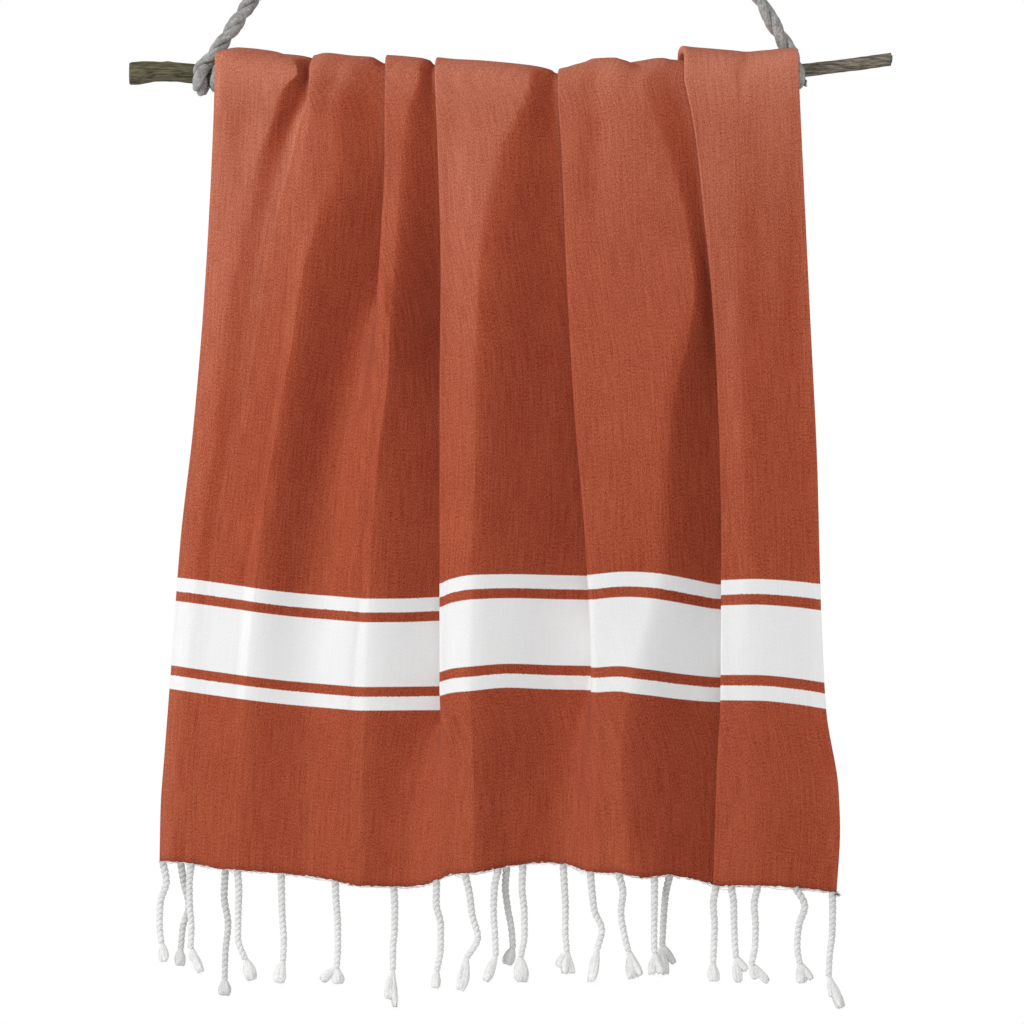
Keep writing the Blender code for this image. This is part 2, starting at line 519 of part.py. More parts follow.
def back_fringe(grid):
    """The back's comb: its tassels hang straight, evenly along the hem."""
    hem, inwards = hem_line(grid, -1)
    run = distances(hem)
    roots = np.linspace(HEM_MARGIN, run[-1] - HEM_MARGIN, BACK_TASSELS)
    fall = BACK_CORD_LONG * read(TASSEL_RINGS, "cord") + BACK_PUFF_LONG * read(TASSEL_RINGS, "puff")
    down = fall[:, None] * STEP * np.array((0, 0, -1))
    paths = [np.array([np.interp(at, run, hem[:, i]) for i in range(3)]) + down for at in roots]
    return comb(hem, inwards, roots, paths)


def rod():
    """The branch: rings round its axis, closed by a fan at each cut end."""
    x, y, radius = (read(ROD, name) for name in ("x", "y", "radius"))
    angle = np.arange(ROD_SIDES) * 2 * pi / ROD_SIDES
    centre = place(x, y, 0 * x)
    ring = np.stack((0 * angle, np.cos(angle), np.sin(angle)), -1)
    points = (centre[:, None] + ring * radius[:, None, None] * STEP).reshape(-1, 3)
    index = np.arange(len(points)).reshape(-1, ROD_SIDES)
    around = np.roll(index, -1, 1)
    faces = list(np.stack((index[:-1], index[1:], around[1:], around[:-1]), -1).reshape(-1, 4))
    faces += [index[0], index[-1][::-1]]
    return points, faces


def winding_points(winding, every=30):
    """Centres of a rope's windings, which lie round the rod a little clear of it."""
    angles, xs = read(winding, "angle"), read(winding, "x")
    order = np.argsort(angles)
    count = int(np.ceil(np.ptp(angles) / every)) + 1
    angle = np.linspace(angles[0], angles[-1], count)
    x = smooth(angle, angles[order], xs[order])
    reach = smooth(x, read(ROD, "x"), read(ROD, "radius")) + (ROPE_THICK / 2 + ROPE_GAP) / STEP
    turn = np.radians(angle)
    y = smooth(x, read(ROD, "x"), read(ROD, "y")) - reach * np.sin(turn)
    return place(x, y, reach * np.cos(turn))


def run_points(run, lean):
    """Centres of the taut run above the rod and of the eye at its end, whose tail lies on the run."""
    points = place(read(run, "x"), read(run, "y"), read(run, "out"))
    start = points[-1]
    up = np.array((np.sin(radians(lean)), 0, np.cos(radians(lean))))
    aside = np.array((up[2], 0, -up[0]))
    along, sideways, out = (read(EYE_RING, name)[:, None] * STEP for name in ("along", "aside", "out"))
    ring = start + along * up + sideways * aside + out * np.array((0, -1, 0))
    return np.concatenate((points, ring))


def curve_through(points, spacing):
    """Evenly spaced points on a smooth curve through the route's own points."""
    gaps = np.sqrt(np.linalg.norm(np.diff(points, axis=0), axis=1))
    knots = np.concatenate(([0], np.cumsum(gaps)))
    slope = np.gradient(points, knots, axis=0)
    fine = np.linspace(0, knots[-1], ROUTE_SAMPLES)
    i = np.clip(np.searchsorted(knots, fine, side="right") - 1, 0, len(gaps) - 1)
    t, gap = ((fine - knots[i]) / gaps[i])[:, None], gaps[i][:, None]
    path = hermite(t, points[i], points[i + 1], slope[i] * gap, slope[i + 1] * gap)
    run = np.concatenate(([0], np.cumsum(np.linalg.norm(np.diff(path, axis=0), axis=1))))
    at = np.linspace(0, run[-1], int(run[-1] / spacing) + 1)
    return np.stack([np.interp(at, run, path[:, i]) for i in range(3)], -1), run[-1]


def rope(name, winding, run, lean):
    """A rope as a round tube along its route."""
    route = np.concatenate((winding_points(winding), run_points(run, lean)))
    path, length = curve_through(route, ROPE_SPACING)
    curve = bpy.data.curves.new(name, "CURVE")
    curve.dimensions = "3D"
    curve.bevel_depth = ROPE_THICK / 2
    curve.bevel_resolution = 2
    curve.use_fill_caps = True
    spline = curve.splines.new("POLY")
    spline.points.add(len(path) - 1)
    spline.points.foreach_set("co", np.column_stack((path, np.ones(len(path)))).ravel())
    obj = bpy.data.objects.new(name, curve)
    bpy.context.collection.objects.link(obj)
    finish(obj, "grey_cotton")
    print(f"{name}: {length:.3f} m long, {len(path)} points")
    return obj


def main():
    for obj in list(bpy.data.objects):
        bpy.data.objects.remove(obj)
    grid = towel_grid()
    make("towel", *sheet_solid(grid, CLOTH_THICK), "rust")
    make("front_fringe", *front_fringe(grid), "off_white")
    make("back_fringe", *back_fringe(grid), "off_white")
    make("rod", *rod(), "bark")
    rope("rope_left", LEFT_WINDING, LEFT_RUN, EYE_LEAN)
    rope("rope_right", RIGHT_WINDING, RIGHT_RUN, -EYE_LEAN)
    widths = np.linalg.norm(np.diff(grid, axis=1), axis=2).sum(1)
    lengths = np.linalg.norm(np.diff(grid, axis=0), axis=2).sum(0)
    print("cloth width by row:", np.round(widths, 3))
    print("cloth length by column:", round(lengths.min(), 3), "to", round(lengths.max(), 3))


main()
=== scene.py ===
# %% [markdown]
# # A hammam towel on its branch rod
#
# This lesson gives a finished look to a towel that hangs in uneven pleats over a branch, with two twisted
# ropes holding the branch up. Every shape is a surface worked out with numpy: the cloth is one level cut
# that changes with height, and the ropes, the tassels and the branch are profiles carried along a path.
# Every colour comes from shader nodes and no picture is loaded, but the cloth and the tassels carry some
# painted light and shade.
#
# Lengths are metres, +Z is up and the viewer stands at -Y. Most tables are read off a front view in steps:
# x counts steps to the right and y counts steps down in that view, and `out` is how many steps in front of
# the branch's axis a point lies. `STEP` turns steps into metres.

# %%
# The tools, and the solid model that everything here follows
from math import pi, radians

import bpy
import numpy as np
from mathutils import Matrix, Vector


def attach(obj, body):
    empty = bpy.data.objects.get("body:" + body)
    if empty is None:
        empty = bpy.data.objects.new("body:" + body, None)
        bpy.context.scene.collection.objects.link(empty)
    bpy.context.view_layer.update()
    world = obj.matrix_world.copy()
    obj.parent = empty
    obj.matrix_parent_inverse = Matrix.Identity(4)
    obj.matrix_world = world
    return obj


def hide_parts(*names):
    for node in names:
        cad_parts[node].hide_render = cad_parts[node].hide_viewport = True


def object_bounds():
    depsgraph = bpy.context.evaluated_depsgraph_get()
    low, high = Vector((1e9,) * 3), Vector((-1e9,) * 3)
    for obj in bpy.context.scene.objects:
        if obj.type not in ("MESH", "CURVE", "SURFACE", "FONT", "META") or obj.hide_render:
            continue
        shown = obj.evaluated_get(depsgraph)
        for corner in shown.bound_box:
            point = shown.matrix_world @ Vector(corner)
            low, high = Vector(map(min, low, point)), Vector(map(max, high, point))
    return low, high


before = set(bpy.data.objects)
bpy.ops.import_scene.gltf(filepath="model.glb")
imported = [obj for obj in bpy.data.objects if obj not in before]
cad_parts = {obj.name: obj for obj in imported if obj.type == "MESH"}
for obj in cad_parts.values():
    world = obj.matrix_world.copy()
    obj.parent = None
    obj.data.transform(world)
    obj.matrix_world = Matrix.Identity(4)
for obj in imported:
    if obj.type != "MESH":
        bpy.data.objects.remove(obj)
SOLID_BOX = [list(corner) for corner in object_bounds()]
print("solid model:", len(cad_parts), "pieces, box", np.round(SOLID_BOX, 3).tolist())

# %% [markdown]
# ## Sizes
#
# The branch is 0.856 m long, and it is 764 steps long in the front view, so one step is 1.12 mm. The cloth
# is 1.73 m from hem to hem, and each fringe adds about 12 cm. Each size is named once, so that a change
# reaches every piece.

# %%
# Driving dimensions
STEP = 0.856 / 764
ORIGIN_X, ORIGIN_Y = 286, -71.9  # where the left rope's eye bears on what holds it, in steps
TOWEL_LENGTH = 1.73
CLOTH_THICK = 0.0009
ROPE_THICK = 0.0165
ROPE_GAP = -0.003  # the windings are pressed flat against the branch
TASSEL_WIDE = 0.0065
VIEW_WIDE = 1024  # steps across the view
VIEW_FAR = 9.0  # from the camera to the cloth

rng = np.random.default_rng(11)


def place(x, y, out):
    """Steps to metres: p = ((x - x0) s, -out s, (y0 - y) s) for a step of s metres."""
    x, y, out = np.broadcast_arrays(x, y, out)
    return np.stack(((x - ORIGIN_X) * STEP, -out * STEP, (ORIGIN_Y - y) * STEP), -1)


def srgb(red, green, blue):
    """A colour as the eye names it, 0 to 255, turned into the linear light that shaders mix."""
    share = np.array((red, green, blue)) / 255
    linear = np.where(share <= 0.04045, share / 12.92, ((share + 0.055) / 1.055) ** 2.4)
    return (*linear, 1.0)


print(f"one step is {STEP * 1000:.3f} mm")

# %% [markdown]
# ## The camera
#
# The view is level and from far away through a long lens, so the cloth's plane maps evenly onto the
# picture. A nearer camera would see more of the folds' sides at one edge than at the other.

# %%
# Camera
centre = place(VIEW_WIDE / 2, VIEW_WIDE / 2, 10)
camera = bpy.data.objects.new("camera", bpy.data.cameras.new("camera"))
bpy.context.collection.objects.link(camera)
camera.location = centre - [0, VIEW_FAR, 0]
camera.rotation_euler = (pi / 2, 0, 0)
camera.data.lens = camera.data.sensor_width * VIEW_FAR / (VIEW_WIDE * STEP)
camera.data.clip_end = 20
bpy.context.scene.camera = camera
print("lens", round(camera.data.lens, 1), "mm, looking level at", np.round(centre, 3).tolist())

# %% [markdown]
# ## Curves through a few numbers
#
# A table names its columns and holds a row for each height, fold or station. `smooth` draws a curve through
# one column: it never overshoots, so a given row can't throw a bulge somewhere else. Bezier handles would
# draw smooth lines too, but each row would then need three points and not one.

# %%
# Table reading and smooth curves


def read(table, column):
    """One named column of a table."""
    names, rows = table
    return np.array([row[names.split().index(column)] for row in rows], float)


def hermite(t, start, end, start_slope, end_slope):
    """h(t) = (1+2t)(1-t)^2 a + t(1-t)^2 a' + t^2(3-2t) b + t^2(t-1) b', the cubic from a to b."""
    return ((1 + 2 * t) * (1 - t) ** 2 * start + t * (1 - t) ** 2 * start_slope
            + t * t * (3 - 2 * t) * end + t * t * (t - 1) * end_slope)


def smooth(at, knots, values):
    """Cubics between the knots. The slope m at a knot is the weighted harmonic mean of its two neighbours'
    rises, and 0 where they differ in sign, which is what keeps the curve inside its values."""
    at = np.clip(at, knots[0], knots[-1])
    gap = np.diff(knots)
    rise = np.diff(values) / gap
    slope = np.concatenate((rise[:1], np.zeros(len(rise) - 1), rise[-1:]))
    if len(rise) > 1:
        before, after = rise[:-1], rise[1:]
        same_way = before * after > 0
        weights = gap[:-1] + 2 * gap[1:], 2 * gap[:-1] + gap[1:]
        safe = np.where(same_way, before, 1), np.where(same_way, after, 1)
        mean = (weights[0] + weights[1]) / (weights[0] / safe[0] + weights[1] / safe[1])
        slope[1:-1] = np.where(same_way, mean, 0)
    i = np.clip(np.searchsorted(knots, at) - 1, 0, len(gap) - 1)
    return hermite((at - knots[i]) / gap[i], values[i], values[i + 1], slope[i] * gap[i],
                   slope[i + 1] * gap[i])


def follow(at, table, knots, column):
    """A table's column as a smooth curve over another of its columns."""
    return smooth(at, read(table, knots), read(table, column))


print("smooth(0.5) through 0, 1, 0.4:", smooth(0.5, np.arange(3.0), np.array([0, 1, 0.4])).round(3))

# %%
# Lengths along a line


def unit(vectors):
    """Vectors of length 1."""
    return vectors / np.linalg.norm(vectors, axis=-1, keepdims=True)


def distances(line):
    """How far along a line of points each point lies."""
    return np.concatenate(([0], np.cumsum(np.linalg.norm(np.diff(line, axis=0), axis=1))))


print("along (0, 0), (3, 4), (3, 5):", distances(np.array([(0, 0), (3, 4), (3, 5)])))

# %% [markdown]
# ## Meshes from arrays
#
# A piece is an array of points and an array of faces with the same number of corners each. Both go into the
# mesh in one call, and the texture coordinates, in metres, go with them. Modifiers or sculpting could shape
# a piece as well, but with arrays every point has its place by a formula that can be read.

# %%
# Mesh building


def add_piece(name, points, faces, material, uv=None, shades=None):
    """One smooth-shaded object at the origin, its place in its points."""
    corners = faces.shape[1]
    mesh = bpy.data.meshes.new(name)
    mesh.vertices.add(len(points))
    mesh.vertices.foreach_set("co", np.asarray(points, np.float32).ravel())
    mesh.loops.add(faces.size)
    mesh.loops.foreach_set("vertex_index", faces.astype(np.int32).ravel())
    mesh.polygons.add(len(faces))
    mesh.polygons.foreach_set("loop_start", np.arange(len(faces), dtype=np.int32) * corners)
    mesh.polygons.foreach_set("use_smooth", np.ones(len(faces), bool))
    if uv is not None:
        layer = mesh.uv_layers.new(name="Metres")
        layer.data.foreach_set("uv", np.asarray(uv, np.float32)[faces.ravel()].ravel())
    if shades is not None:
        attribute = mesh.attributes.new("shade", "FLOAT", "POINT")
        attribute.data.foreach_set("value", np.asarray(shades, np.float32))
    mesh.update(calc_edges=True)
    mesh.materials.append(material)
    piece = bpy.data.objects.new(name, mesh)
    bpy.context.collection.objects.link(piece)
    return piece


def joined(parts):
    """Several (points, faces, uv, shades) as one."""
    starts = np.cumsum([0] + [len(points) for points, *_ in parts])
    faces = np.concatenate([part[1] + start for part, start in zip(parts, starts)])
    return (np.concatenate([part[0] for part in parts]), faces, np.concatenate([part[2] for part in parts]),
            np.concatenate([part[3] for part in parts]))


# %% [markdown]
# ## Shader tools
#
# Nodes could be wired by hand in the editor. Here `add` makes a node and sets or links its sockets, and
# short helpers on top of it make each step of an effect one line. Groups hold the effects that can be
# shared, such as a weave or a fibre's streaks.

# %%
# Node helpers


def join(tree, socket, value):
    """Sets a socket to a value, or links it to another node's output."""
    if isinstance(value, bpy.types.NodeSocket):
        tree.links.new(value, socket)
    else:
        socket.default_value = value


def add(tree, kind, settings=None, **sockets):
    """A new node. Sockets are named, with _ for a space."""
    node = tree.nodes.new(kind)
    for key, value in (settings or {}).items():
        setattr(node, key, value)
    for key, value in sockets.items():
        join(tree, node.inputs[key.replace("_", " ")], value)
    return node


def math(tree, operation, *values):
    """The result of a sum on one to three values."""
    node = tree.nodes.new("ShaderNodeMath")
    node.operation = operation
    for socket, value in zip(node.inputs, values):
        join(tree, socket, value)
    return node.outputs[0]


def blend(tree, share, first, second, kind="MIX"):
    """A colour between two."""
    node = tree.nodes.new("ShaderNodeMix")
    node.data_type, node.blend_type = "RGBA", kind
    for socket, value in zip((node.inputs[0], node.inputs[6], node.inputs[7]), (share, first, second)):
        join(tree, socket, value)
    return node.outputs[2]


def ramp(tree, value, low, high, to_low=0.0, to_high=1.0):
    """A value moved from one range to another, held at its ends."""
    node = add(tree, "ShaderNodeMapRange", {"interpolation_type": "SMOOTHSTEP"}, Value=value)
    for key, number in (("From Min", low), ("From Max", high), ("To Min", to_low), ("To Max", to_high)):
        join(tree, node.inputs[key], number)
    return node.outputs[0]


# %%
# Noise, groups and materials


def noise(tree, vector, scale, stretch=(1, 1, 1), detail=2.0, roughness=0.5):
    """Cloudy noise, finer along the axes whose stretch is larger."""
    spread = add(tree, "ShaderNodeVectorMath", {"operation": "MULTIPLY"})
    join(tree, spread.inputs[0], vector)
    join(tree, spread.inputs[1], stretch)
    node = add(tree, "ShaderNodeTexNoise", Vector=spread.outputs[0], Scale=scale, Detail=detail,
               Roughness=roughness)
    return node.outputs["Fac"]


def new_group(name, inputs, outputs):
    """An empty shader group: its tree, what comes in and what goes out."""
    tree = bpy.data.node_groups.new(name, "ShaderNodeTree")
    for label, kind in inputs.items():
        tree.interface.new_socket(label, in_out="INPUT", socket_type=f"NodeSocket{kind}")
    for label, kind in outputs.items():
        tree.interface.new_socket(label, in_out="OUTPUT", socket_type=f"NodeSocket{kind}")
    return tree, tree.nodes.new("NodeGroupInput").outputs, tree.nodes.new("NodeGroupOutput").inputs


def new_material(name):
    """A material, its node tree and its Principled shader."""
    material = bpy.data.materials.new(name)
    material.use_nodes = True
    tree = material.node_tree
    return material, tree, tree.nodes["Principled BSDF"]


def use_group(tree, group, **sockets):
    """A group's outputs inside another tree."""
    return add(tree, "ShaderNodeGroup", {"node_tree": group}, **sockets).outputs


# %% [markdown]
# ## Weave
#
# The cloth is a plain weave of rust weft over a paler warp. Seen close there are threads, and from a step
# back the uneven yarn shows as short pale flecks up and down and longer slubs across. The texture
# coordinates are metres across and along the cloth, so the threads follow every fold. A picture of cloth
# could be laid on instead, but it would blur from near by and repeat from far off.

# %%
# Weave group
THREAD = 0.0009  # from one thread to the next, in metres
WEAVE_HEIGHT = 0.22  # how much of the height is the weave, beside the yarn's own unevenness
# The yarn's unevenness: changes to the metre across and along the cloth, how fine they go, and their share.
YARNS = ("across along detail rough share", [
    (900, 460, 2, 0.6, 0.36),  # flecks
    (760, 760, 2, 0.7, 0.36),  # specks
    (60, 800, 2, 0.6, 0.10),  # slubs that run across
    (480, 22, 3, 0.6, 0.18),  # warp threads that run up and down
])


def weave_group():
    """Pale = the sum of each yarn noise times its share. Height = that sum + a plain weave, which is
    sin(2 pi x / t) sin(2 pi y / t) for threads t apart. Cloud is broad light and dark."""
    tree, given, made = new_group("weave", {"Metres": "Vector"},
                                  {"Pale": "Float", "Height": "Float", "Cloud": "Float"})
    across, along, _ = add(tree, "ShaderNodeSeparateXYZ", Vector=given["Metres"]).outputs
    total = 0.0
    for across_fine, along_fine, detail, rough, share in YARNS[1]:
        yarn = noise(tree, given["Metres"], 1.0, (across_fine, along_fine, 1), detail, rough)
        total = math(tree, "MULTIPLY_ADD", yarn, share, total)
    warp, weft = (math(tree, "SINE", math(tree, "MULTIPLY", way, 2 * pi / THREAD))
                  for way in (across, along))
    checks = math(tree, "MULTIPLY", warp, weft)
    join(tree, made["Pale"], ramp(tree, total, 0.38, 0.62))
    join(tree, made["Height"], math(tree, "MULTIPLY_ADD", checks, WEAVE_HEIGHT, total))
    join(tree, made["Cloud"], noise(tree, given["Metres"], 14.0, (1, 1, 1), 3, 0.6))
    return tree


WEAVE = weave_group()
print("group", WEAVE.name, "has", len(WEAVE.nodes), "nodes")

# %% [markdown]
# ## Cloth colours
#
# The woven pattern near each hem is a narrow white band, a thin rust one, a wide white one, a thin rust one
# and a narrow white one. It could be faces of another colour, but then the mesh's rows would have to follow
# it. Worked out from how far the nearer hem is, it stays sharp on both sides, and each edge can wander by a
# thread or two.

# %%
# Cloth material
BANDS = ("wide white", [(14, 1), (10, 0), (66, 1), (10, 0), (14, 1)])  # steps, from the hem's side up
BAND_FROM = 178  # steps from the hem to the pattern
PATTERN = read(BANDS, "wide").sum()
EDGE_WANDER = 0.0022  # how far a band's edge wanders, in metres
BAND_SOFT = 0.5  # half the width that a band's edge blends over, in steps
RUST, FLECK = srgb(134, 46, 26), srgb(184, 94, 64)  # the threads' darker and paler lengths
SHEEN_AND_NAP_RUST = srgb(228, 158, 132)  # painted sheen where the cloth is lit, and partly a paler nap near the top
WHITE, OFF_WHITE = srgb(240, 240, 240), srgb(230, 230, 230)
PATCHY = 0.22  # how much broad light and dark there is
SHEEN_FROM, SHEEN_FLECKS = 0.55, 0.9  # how far the painted sheen and nap hide dark threads, and how much more pale ones


def cloth_material():
    """Rust and pale threads mixed by the weave, under white where a band lies."""
    material, tree, shader = new_material("cloth")
    metres = add(tree, "ShaderNodeUVMap", {"uv_map": "Metres"}).outputs[0]
    weave = use_group(tree, WEAVE, Metres=metres)
    along = add(tree, "ShaderNodeSeparateXYZ", Vector=metres).outputs["Y"]
    from_hem = math(tree, "MINIMUM", along, math(tree, "SUBTRACT", TOWEL_LENGTH, along))
    frayed = noise(tree, metres, 1.0, (700, 40, 1), 2, 0.7)
    wander = math(tree, "MULTIPLY", math(tree, "SUBTRACT", frayed, 0.5), EDGE_WANDER)
    height = math(tree, "DIVIDE", math(tree, "ADD", from_hem, wander), STEP)
    white, edge = 0.0, BAND_FROM
    for wide, is_white in BANDS[1]:
        if is_white:
            above = ramp(tree, height, edge - BAND_SOFT, edge + BAND_SOFT)
            below = ramp(tree, height, edge + wide - BAND_SOFT, edge + wide + BAND_SOFT, 1.0, 0.0)
            white = math(tree, "MULTIPLY_ADD", above, below, white)
        edge += wide
    # The mesh's `shade` number: above 0 it pales the rust as painted sheen and highlight, near the top
    # partly a paler nap; below 0 it is painted shade that hides the pale flecks.
    painted_light_and_nap = add(tree, "ShaderNodeAttribute", {"attribute_name": "shade"}).outputs["Fac"]
    patchy = math(tree, "MULTIPLY", math(tree, "SUBTRACT", weave["Cloud"], 0.5), PATCHY)
    share = math(tree, "ADD", math(tree, "ADD", weave["Pale"], patchy), math(tree, "MINIMUM", painted_light_and_nap, 0.0))
    rust = blend(tree, share, RUST, FLECK)
    sheen_and_nap_take = math(tree, "MULTIPLY_ADD", weave["Pale"], SHEEN_FLECKS, SHEEN_FROM)
    rust = blend(tree, math(tree, "MULTIPLY", math(tree, "MAXIMUM", painted_light_and_nap, 0.0), sheen_and_nap_take), rust, SHEEN_AND_NAP_RUST)
    plain = blend(tree, weave["Pale"], OFF_WHITE, WHITE)
    join(tree, shader.inputs["Base Color"], blend(tree, white, rust, plain))
    shader.inputs["Roughness"].default_value = 0.92
    shader.inputs["Sheen Weight"].default_value = 0.03
    shader.inputs["Sheen Roughness"].default_value = 0.6
    shader.inputs["Specular IOR Level"].default_value = 0.1
    bump = add(tree, "ShaderNodeBump", Height=weave["Height"], Distance=0.0006, Strength=0.5)
    join(tree, shader.inputs["Normal"], bump.outputs[0])
    return material


CLOTH = cloth_material()
print("pattern", PATTERN, "steps tall,", round(PATTERN * STEP * 100, 1), "cm")

# %% [markdown]
# ## The cloth's cross-section
#
# The towel's own weight pulls it into long folds. A simulation could drop it over the branch, but then the
# folds would lie where chance puts them. Here one cross-section is drawn and changes with height, so that
# each fold has its place.
#
# Cut level, the cloth is a row of panels joined by folds. A fold is a bend, a flap that runs back under the
# next panel, and a second bend. `turn` is how far the cloth turns back in it: at 180 degrees it is a flat
# knife pleat, and as the turn falls the same three pieces open into a soft wave. A panel rises from its
# start to a crest and falls to a trough beside the next fold. Every number changes with height.

# %%
# Fold, selvedge and crest tables
FOLD = "y edge flap turn radius back"
FRONT_FOLDS = [
    (FOLD, [(55, 312, 12, 180, 1.6, 14.5), (75, 310, 9, 170, 1.8, 16), (97, 308, 2.5, 125, 2, 17),
            (108, 307.5, 2, 80, 3.5, 17.3), (120, 306, 5, 36, 9, 18), (160, 300, 8, 15, 22, 21.8),
            (245, 286, 14, 9, 42, 24.6), (300, 281, 18, 8, 50, 24.8), (400, 268, 20, 7, 58, 25.2),
            (560, 242, 20, 6.5, 60, 25.2), (870, 214, 20, 6, 60, 25)]),
    (FOLD, [(55, 386, 33, 180, 1.6, 12.5), (112, 385, 33, 178, 1.7, 13), (163, 385, 32, 172, 2, 12),
            (224, 382, 26, 160, 3, 9), (275, 379, 18, 130, 5, 9), (316, 376, 14, 95, 9, 9.5),
            (371, 372, 12, 66, 12, 10.5), (443, 363, 14, 42, 16, 13), (520, 356, 16.5, 25, 24, 16),
            (700, 342, 22, 13, 44, 20), (870, 336, 24, 10, 50, 22)]),
    (FOLD, [(56, 434, 31, 180, 1.6, 12), (150, 438, 32, 178, 1.7, 13), (275, 441, 32, 168, 2, 12.5),
            (400, 440, 32, 160, 2.4, 12), (580, 440, 32, 158, 2.6, 12), (685, 440, 28, 152, 3, 13),
            (718, 441, 15, 110, 6.5, 15), (748, 441, 14, 62, 12, 17), (785, 440, 16, 38, 20, 20),
            (830, 438, 20, 28, 26, 22), (870, 437, 22, 24, 28, 23)]),
    (FOLD, [(68, 563, 31, 180, 1.6, 11), (85, 558, 31, 179, 1.6, 11.5), (156, 562, 32, 176, 1.8, 11),
            (282, 567, 32, 170, 2.2, 9.5), (420, 575, 30, 160, 3, 9.5), (541, 585, 26, 145, 4, 10.5),
            (667, 591, 17, 105, 6, 14), (760, 590, 18, 60, 13, 17), (870, 588, 18, 34, 22, 20)]),
    (FOLD, [(46, 675, 33, 180, 1.7, 14), (68, 681, 33, 180, 1.7, 15), (93, 687, 33, 178, 1.7, 16.5),
            (135, 695, 34, 175, 1.8, 18), (219, 704, 35, 172, 2, 17.5), (293, 711.5, 36, 170, 2, 15.5),
            (360, 716, 37, 168, 2.2, 11.5), (541, 721, 38, 166, 2.2, 11), (700, 720, 40, 165, 2.2, 14),
            (756, 717, 42, 165, 2.2, 15), (882, 713, 44, 165, 2.2, 16)]),
]
EDGE = "y x out"
FRONT_LEFT = (EDGE, [(47, 216, 29), (91, 215, 28.5), (144, 213, 25), (290, 205, 20), (425, 194, 19),
                     (540, 181, 19), (674, 171, 20), (752, 165, 20), (808, 161, 21), (861, 160, 21)])
FRONT_RIGHT = (EDGE, [(47, 797, 28), (93, 799, 27.5), (177, 803, 25), (325, 810, 26), (461, 816.5, 27),
                      (611, 820.5, 27.5), (709, 825.5, 28), (790, 838, 27), (829, 839.5, 26),
                      (891, 836, 26)])
CREST = "y x out sharp"
FRONT_CRESTS = [
    (CREST, [(55, 299, 28.6, 0), (73, 298, 28.6, 0), (84, 287, 28.4, 0), (96, 278, 27.8, 0),
             (120, 272, 26.9, 0), (160, 256, 26.7, 0), (245, 240, 26.1, 0), (300, 231, 26.1, 0),
             (400, 220, 26.2, 0), (560, 200, 25.6, 0), (870, 172, 25, 0)]),
    (CREST, [(55, 350, 20.5, 0), (78, 342, 22, 0), (97, 332, 23.3, 0), (120, 330, 23.7, 0),
             (163, 334, 25, 0), (198, 326, 27.8, 0), (230, 316, 31, 0.1), (275, 304, 33.5, 0.25),
             (350, 292, 36, 0.25), (460, 272, 37, 0.1), (550, 260, 36, 0.1), (700, 247, 32, 0),
             (870, 240, 29, 0)]),
    (CREST, [(56, 422, 20, 0), (80, 418, 21, 0), (112, 407, 22, 0), (163, 402, 25, 0),
             (224, 398, 32, 0.2), (275, 395, 39.5, 0.4), (316, 391, 43, 0.5), (371, 389, 37.5, 0.8),
             (443, 380, 33.5, 0.8), (520, 374, 30.5, 0.6), (700, 366, 30, 0.5), (870, 362, 29, 0.5)]),
    (CREST, [(60, 536, 20, 0), (100, 522, 23, 0), (145, 500, 28, 0.2), (198, 490, 33, 0.3),
             (250, 483, 38, 0.4), (303, 480, 42, 0.5), (400, 478, 46, 0.5), (580, 474, 47, 0.6),
             (700, 472, 47, 0.7), (748, 474, 47.5, 0.8), (790, 475, 45, 0.8), (870, 477, 42, 0.8)]),
    (CREST, [(60, 630, 21, 0), (150, 664, 24, 0), (219, 684, 23.5, 0), (293, 693, 26.5, 0.1),
             (340, 686, 31, 0.5), (407, 670, 35, 0.9), (487, 665, 37.5, 0.9), (573, 660, 40, 0.8),
             (667, 636, 48, 0.5), (760, 622, 50, 0.5), (870, 634, 43, 0.5)]),
    (CREST, [(46, 735, 23, 0), (150, 742, 28, 0), (250, 738, 31.5, 0), (400, 742, 33.5, 0),
             (520, 747, 34.5, 0), (700, 752, 35, 0), (870, 758, 35, 0)]),
]
BACK_FOLDS = [
    (FOLD, [(56, 314, 12, 180, 1.6, 15), (738, 300, 12, 150, 2, 14)]),
    (FOLD, [(56, 386, 33, 180, 1.6, 12.5), (738, 378, 28, 160, 2.2, 14)]),
    (FOLD, [(56, 436, 31, 180, 1.6, 12), (738, 452, 27, 165, 2.2, 14)]),
    (FOLD, [(56, 560, 31, 180, 1.6, 11), (738, 566, 27, 165, 2.2, 14)]),
    (FOLD, [(56, 678, 33, 180, 1.7, 15.5), (738, 690, 28, 165, 2.2, 14)]),
]
BACK_LEFT = (EDGE, [(56, 238, 29), (95, 237, 28), (738, 196, 20)])
BACK_RIGHT = (EDGE, [(56, 769, 24), (738, 806, 22)])
BACK_CRESTS = [
    (CREST, [(56, 285, 28, 0), (100, 280, 27, 0), (738, 262, 25, 0)]),
    (CREST, [(56, 350, 20.5, 0), (738, 340, 27, 0)]),
    (CREST, [(56, 423, 20, 0), (738, 412, 28, 0)]),
    (CREST, [(56, 530, 20, 0), (738, 505, 30, 0.5)]),
    (CREST, [(56, 620, 20, 0), (738, 630, 30, 0.5)]),
    (CREST, [(56, 735, 24, 0), (738, 745, 30, 0)]),
]
FRONT = (FRONT_FOLDS, FRONT_LEFT, FRONT_RIGHT, FRONT_CRESTS)
BACK = (BACK_FOLDS, BACK_LEFT, BACK_RIGHT, BACK_CRESTS)

CREST_AT, TROUGH_AT = 0.4, 0.8  # how far along its panel the crest lies, and the trough after it
TROUGH_GAP = 2  # steps from the trough to the fold's edge
STEEP = 0.5  # how much of its slope a panel keeps beside a flat fold
STRETCHES = (("panel", 25), ("first", 6), ("flap", 3), ("second", 6))  # and how many cells each has
FRONT_CELLS, ARCH_CELLS, BACK_CELLS = 130, 18, 34
CROWDING = 1.5  # how much closer the rows lie near the branch than near the hem
print(len(FRONT_FOLDS), "folds and", len(FRONT_CRESTS), "panels")

